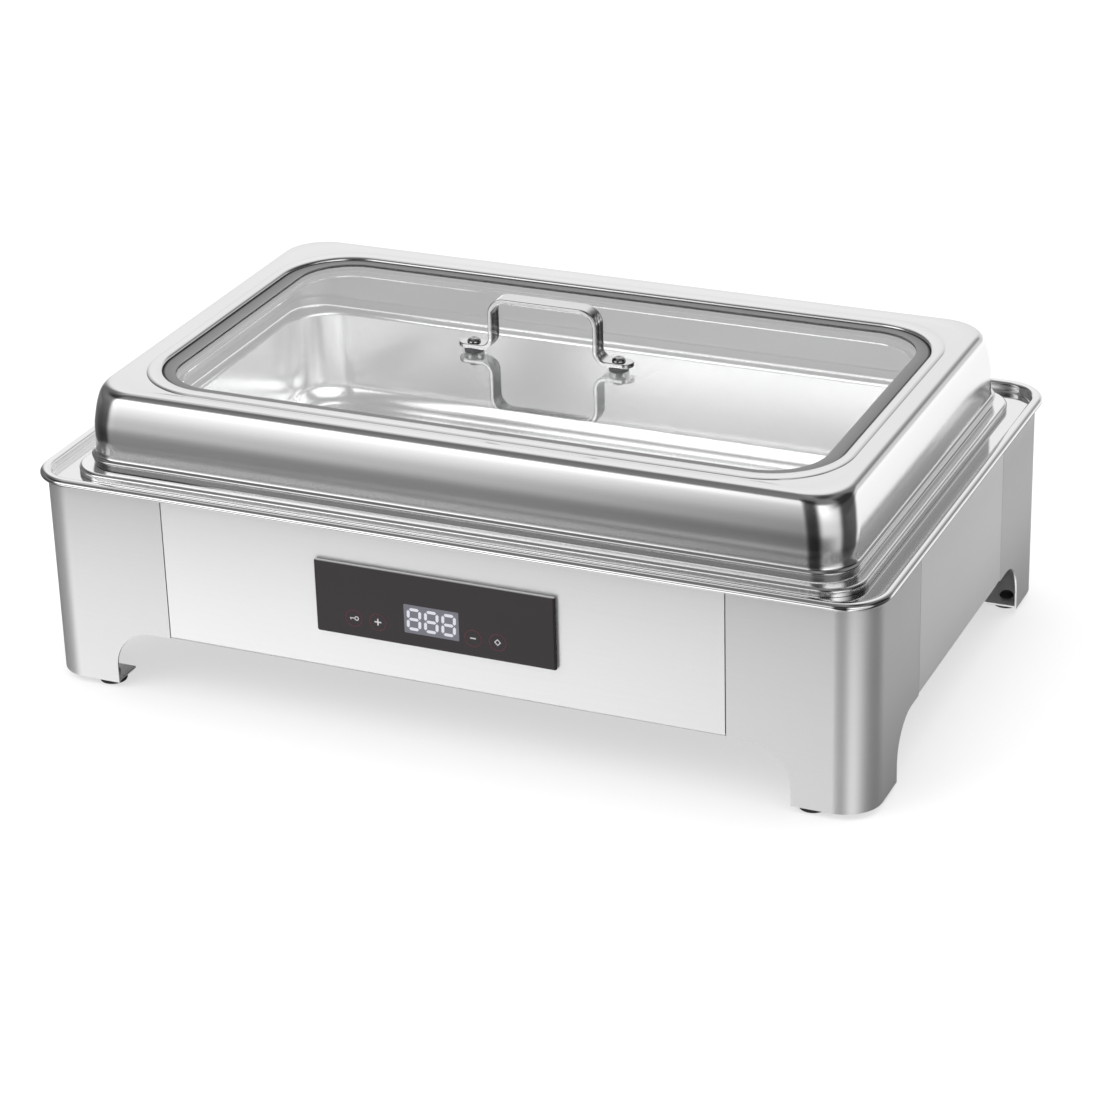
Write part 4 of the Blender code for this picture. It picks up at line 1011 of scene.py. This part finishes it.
def studio_light(nodes, direction, distance):
    """Brightness of the studio in a direction, as polished metal sees it.

    It is a white table with bright cards and dark flags round it. Azimuths are in degrees from +X
    towards +Y. Distance is how far away the table is, or nothing for the room.
    """
    split = nodes.add("ShaderNodeSeparateXYZ", {0: direction}).outputs
    azimuth = nodes.math("ARCTAN2", split[1], split[0])
    turn = nodes.math("MULTIPLY_ADD", azimuth, 1 / (2 * math.pi), 0.5)

    def at(degrees):
        return (degrees + 180.0) / 360.0

    cards = nodes.ramp(
        turn,
        [
            (0.0, 0.12),
            (at(-150), 0.12),
            (at(-138), 1.0),
            (at(-114), 1.0),
            (at(-106), 0.44),
            (at(-98), 0.05),
            (at(-74), 0.03),
            (at(-58), 0.90),
            (at(-20), 1.0),
            (at(-4), 0.08),
            (at(38), 0.08),
            (at(52), 0.85),
            (at(128), 0.95),
            (at(145), 0.15),
            (1.0, 0.12),
        ],
    )
    from_front = nodes.math("COSINE", nodes.math("SUBTRACT", azimuth, math.radians(FRONT_AZIMUTH)))
    front = nodes.step(from_front, -0.2, 0.6)
    if distance is not None:
        far = nodes.math("MULTIPLY", distance, 1 / 2.0, clamp=True)
        near_front = [(0.0, 1.0), (0.155, 1.0), (0.172, 0.15), (0.22, 0.17), (0.36, 0.24)]
        near_front = nodes.ramp(far, [*near_front, (0.55, 0.45), (1.0, 0.62)])
        # Behind the stand the table is darker close by: a painted shadow of the stand, seen only in
        # reflections.
        near_back_painted_shadow = [(0.0, 0.22), (0.10, 0.42), (0.143, 0.42), (0.152, 0.12), (0.170, 0.14)]
        near_back_painted_shadow = nodes.ramp(far, [*near_back_painted_shadow, (0.192, 0.85), (0.8, 0.95)])
        table = nodes.mix(front, near_back_painted_shadow, nodes.math("MULTIPLY", near_front, 1.9))
        return nodes.math("MULTIPLY", table, cards)
    rise = nodes.math("ARCSINE", nodes.math("MINIMUM", nodes.math("MAXIMUM", split[2], -1.0), 1.0))
    level = nodes.math("MULTIPLY", rise, 2 / math.pi, clamp=True)
    front_sky = nodes.ramp(
        level, [(0.0, 0.62), (0.08, 0.80), (0.14, 1.0), (0.27, 1.0), (0.37, 0.13), (0.80, 0.10), (1.0, 0.16)]
    )
    front_sky = nodes.math("MULTIPLY", front_sky, 1.6)
    back_sky = nodes.ramp(level, [(0.0, 0.9), (0.50, 1.0), (0.66, 0.85), (0.80, 0.20), (1.0, 0.25)])
    beside = nodes.step(level, 0.12, 0.20, 0.9, 0.22)
    side = nodes.step(azimuth, math.radians(62.0), math.radians(98.0), beside, 1.0)
    sky = nodes.mix(front, nodes.math("MULTIPLY", back_sky, side), front_sky)
    flags = nodes.mix(nodes.step(level, 0.45, 0.75), cards, 1.0)
    return nodes.math("MULTIPLY", sky, flags)


def build_studio():
    scene = bpy.context.scene
    world = bpy.data.worlds.new("studio")
    scene.world = world
    world.use_nodes = True
    tree = world.node_tree
    tree.nodes.clear()
    nodes = Nodes(tree)
    direction = nodes.add("ShaderNodeTexCoord").outputs["Generated"]
    path = nodes.add("ShaderNodeLightPath").outputs
    # A ray that has crossed more than two faces of the window has been inside the closed lid, and the
    # light that it finds is raised, because the pans look too dark otherwise.
    window_faces, more_light, added_light = 2.5, 0.5, 1.4
    inside = nodes.math("GREATER_THAN", path["Transparent Depth"], window_faces)
    gain = nodes.math("MULTIPLY_ADD", inside, more_light, 1.0)
    light = nodes.math("MULTIPLY", studio_light(nodes, direction, None), gain)
    seen = nodes.math("MULTIPLY_ADD", inside, added_light, light)
    colour = nodes.mix(path["Is Glossy Ray"], 1.0, seen)
    background = nodes.add("ShaderNodeBackground", {"Color": colour, "Strength": 1.0})
    output = nodes.add("ShaderNodeOutputWorld")
    tree.links.new(background.outputs[0], output.inputs[0])

    bm = bmesh.new()
    bmesh.ops.create_grid(bm, x_segments=8, y_segments=8, size=6.0)
    floor = bpy.data.objects.new("studio_floor", mesh_from(bm, "studio_floor"))
    scene.collection.objects.link(floor)
    material = bpy.data.materials.new("pale_floor")
    material.use_nodes = True
    tree = material.node_tree
    tree.nodes.clear()
    nodes = Nodes(tree)
    faint = nodes.math("MULTIPLY_ADD", nodes.noise(place(nodes), 3.0, 2.0), 0.02, 0.93)
    diffuse = nodes.add("ShaderNodeBsdfDiffuse", {0: faint})
    path = nodes.add("ShaderNodeLightPath").outputs
    incoming = nodes.add("ShaderNodeNewGeometry").outputs["Incoming"]
    onward = nodes.scaled(incoming, -1.0)
    seen = studio_light(nodes, onward, path["Ray Length"])
    position = nodes.add("ShaderNodeNewGeometry").outputs["Position"]
    depth = nodes.add("ShaderNodeSeparateXYZ", {0: position}).outputs[1]
    card = nodes.add("ShaderNodeEmission", {0: seen, 1: nodes.step(depth, -0.3, 0.4, 0.7, 1.4)})
    white = nodes.add("ShaderNodeEmission", {0: (1.0, 1.0, 1.0, 1.0), 1: 1.0})
    lift = nodes.math("MULTIPLY", path["Is Camera Ray"], 0.6)
    plain = nodes.add("ShaderNodeMixShader", {0: lift, 1: diffuse.outputs[0], 2: white.outputs[0]})
    mirrored = path["Is Glossy Ray"]
    both = nodes.add("ShaderNodeMixShader", {0: mirrored, 1: plain.outputs[0], 2: card.outputs[0]})
    output = nodes.add("ShaderNodeOutputMaterial")
    tree.links.new(both.outputs[0], output.inputs[0])
    floor.data.materials.append(material)

    for name, location, size, power in SOFT_BOXES:
        data = bpy.data.lights.new(name, "AREA")
        data.size = size
        data.energy = power
        light = bpy.data.objects.new(name, data)
        light.location = location
        light.rotation_euler = (Vector((0, 0, 0.1)) - Vector(location)).to_track_quat("-Z", "Y").to_euler()
        light.visible_glossy = False
        scene.collection.objects.link(light)

    camera_data = bpy.data.cameras.new("camera")
    camera_data.lens = CAMERA_LENS
    camera_data.sensor_width = 36.0
    camera = bpy.data.objects.new("camera", camera_data)
    camera.location = CAMERA_PLACE
    camera.rotation_euler = [math.radians(angle) for angle in CAMERA_TURN]
    scene.collection.objects.link(camera)
    scene.camera = camera
    scene.view_settings.view_transform = "Standard"


build_lid()
build_handle()
build_pans()
build_legs()
build_aprons()
build_feet()
build_panel()
dress_kept_nodes()
build_studio()
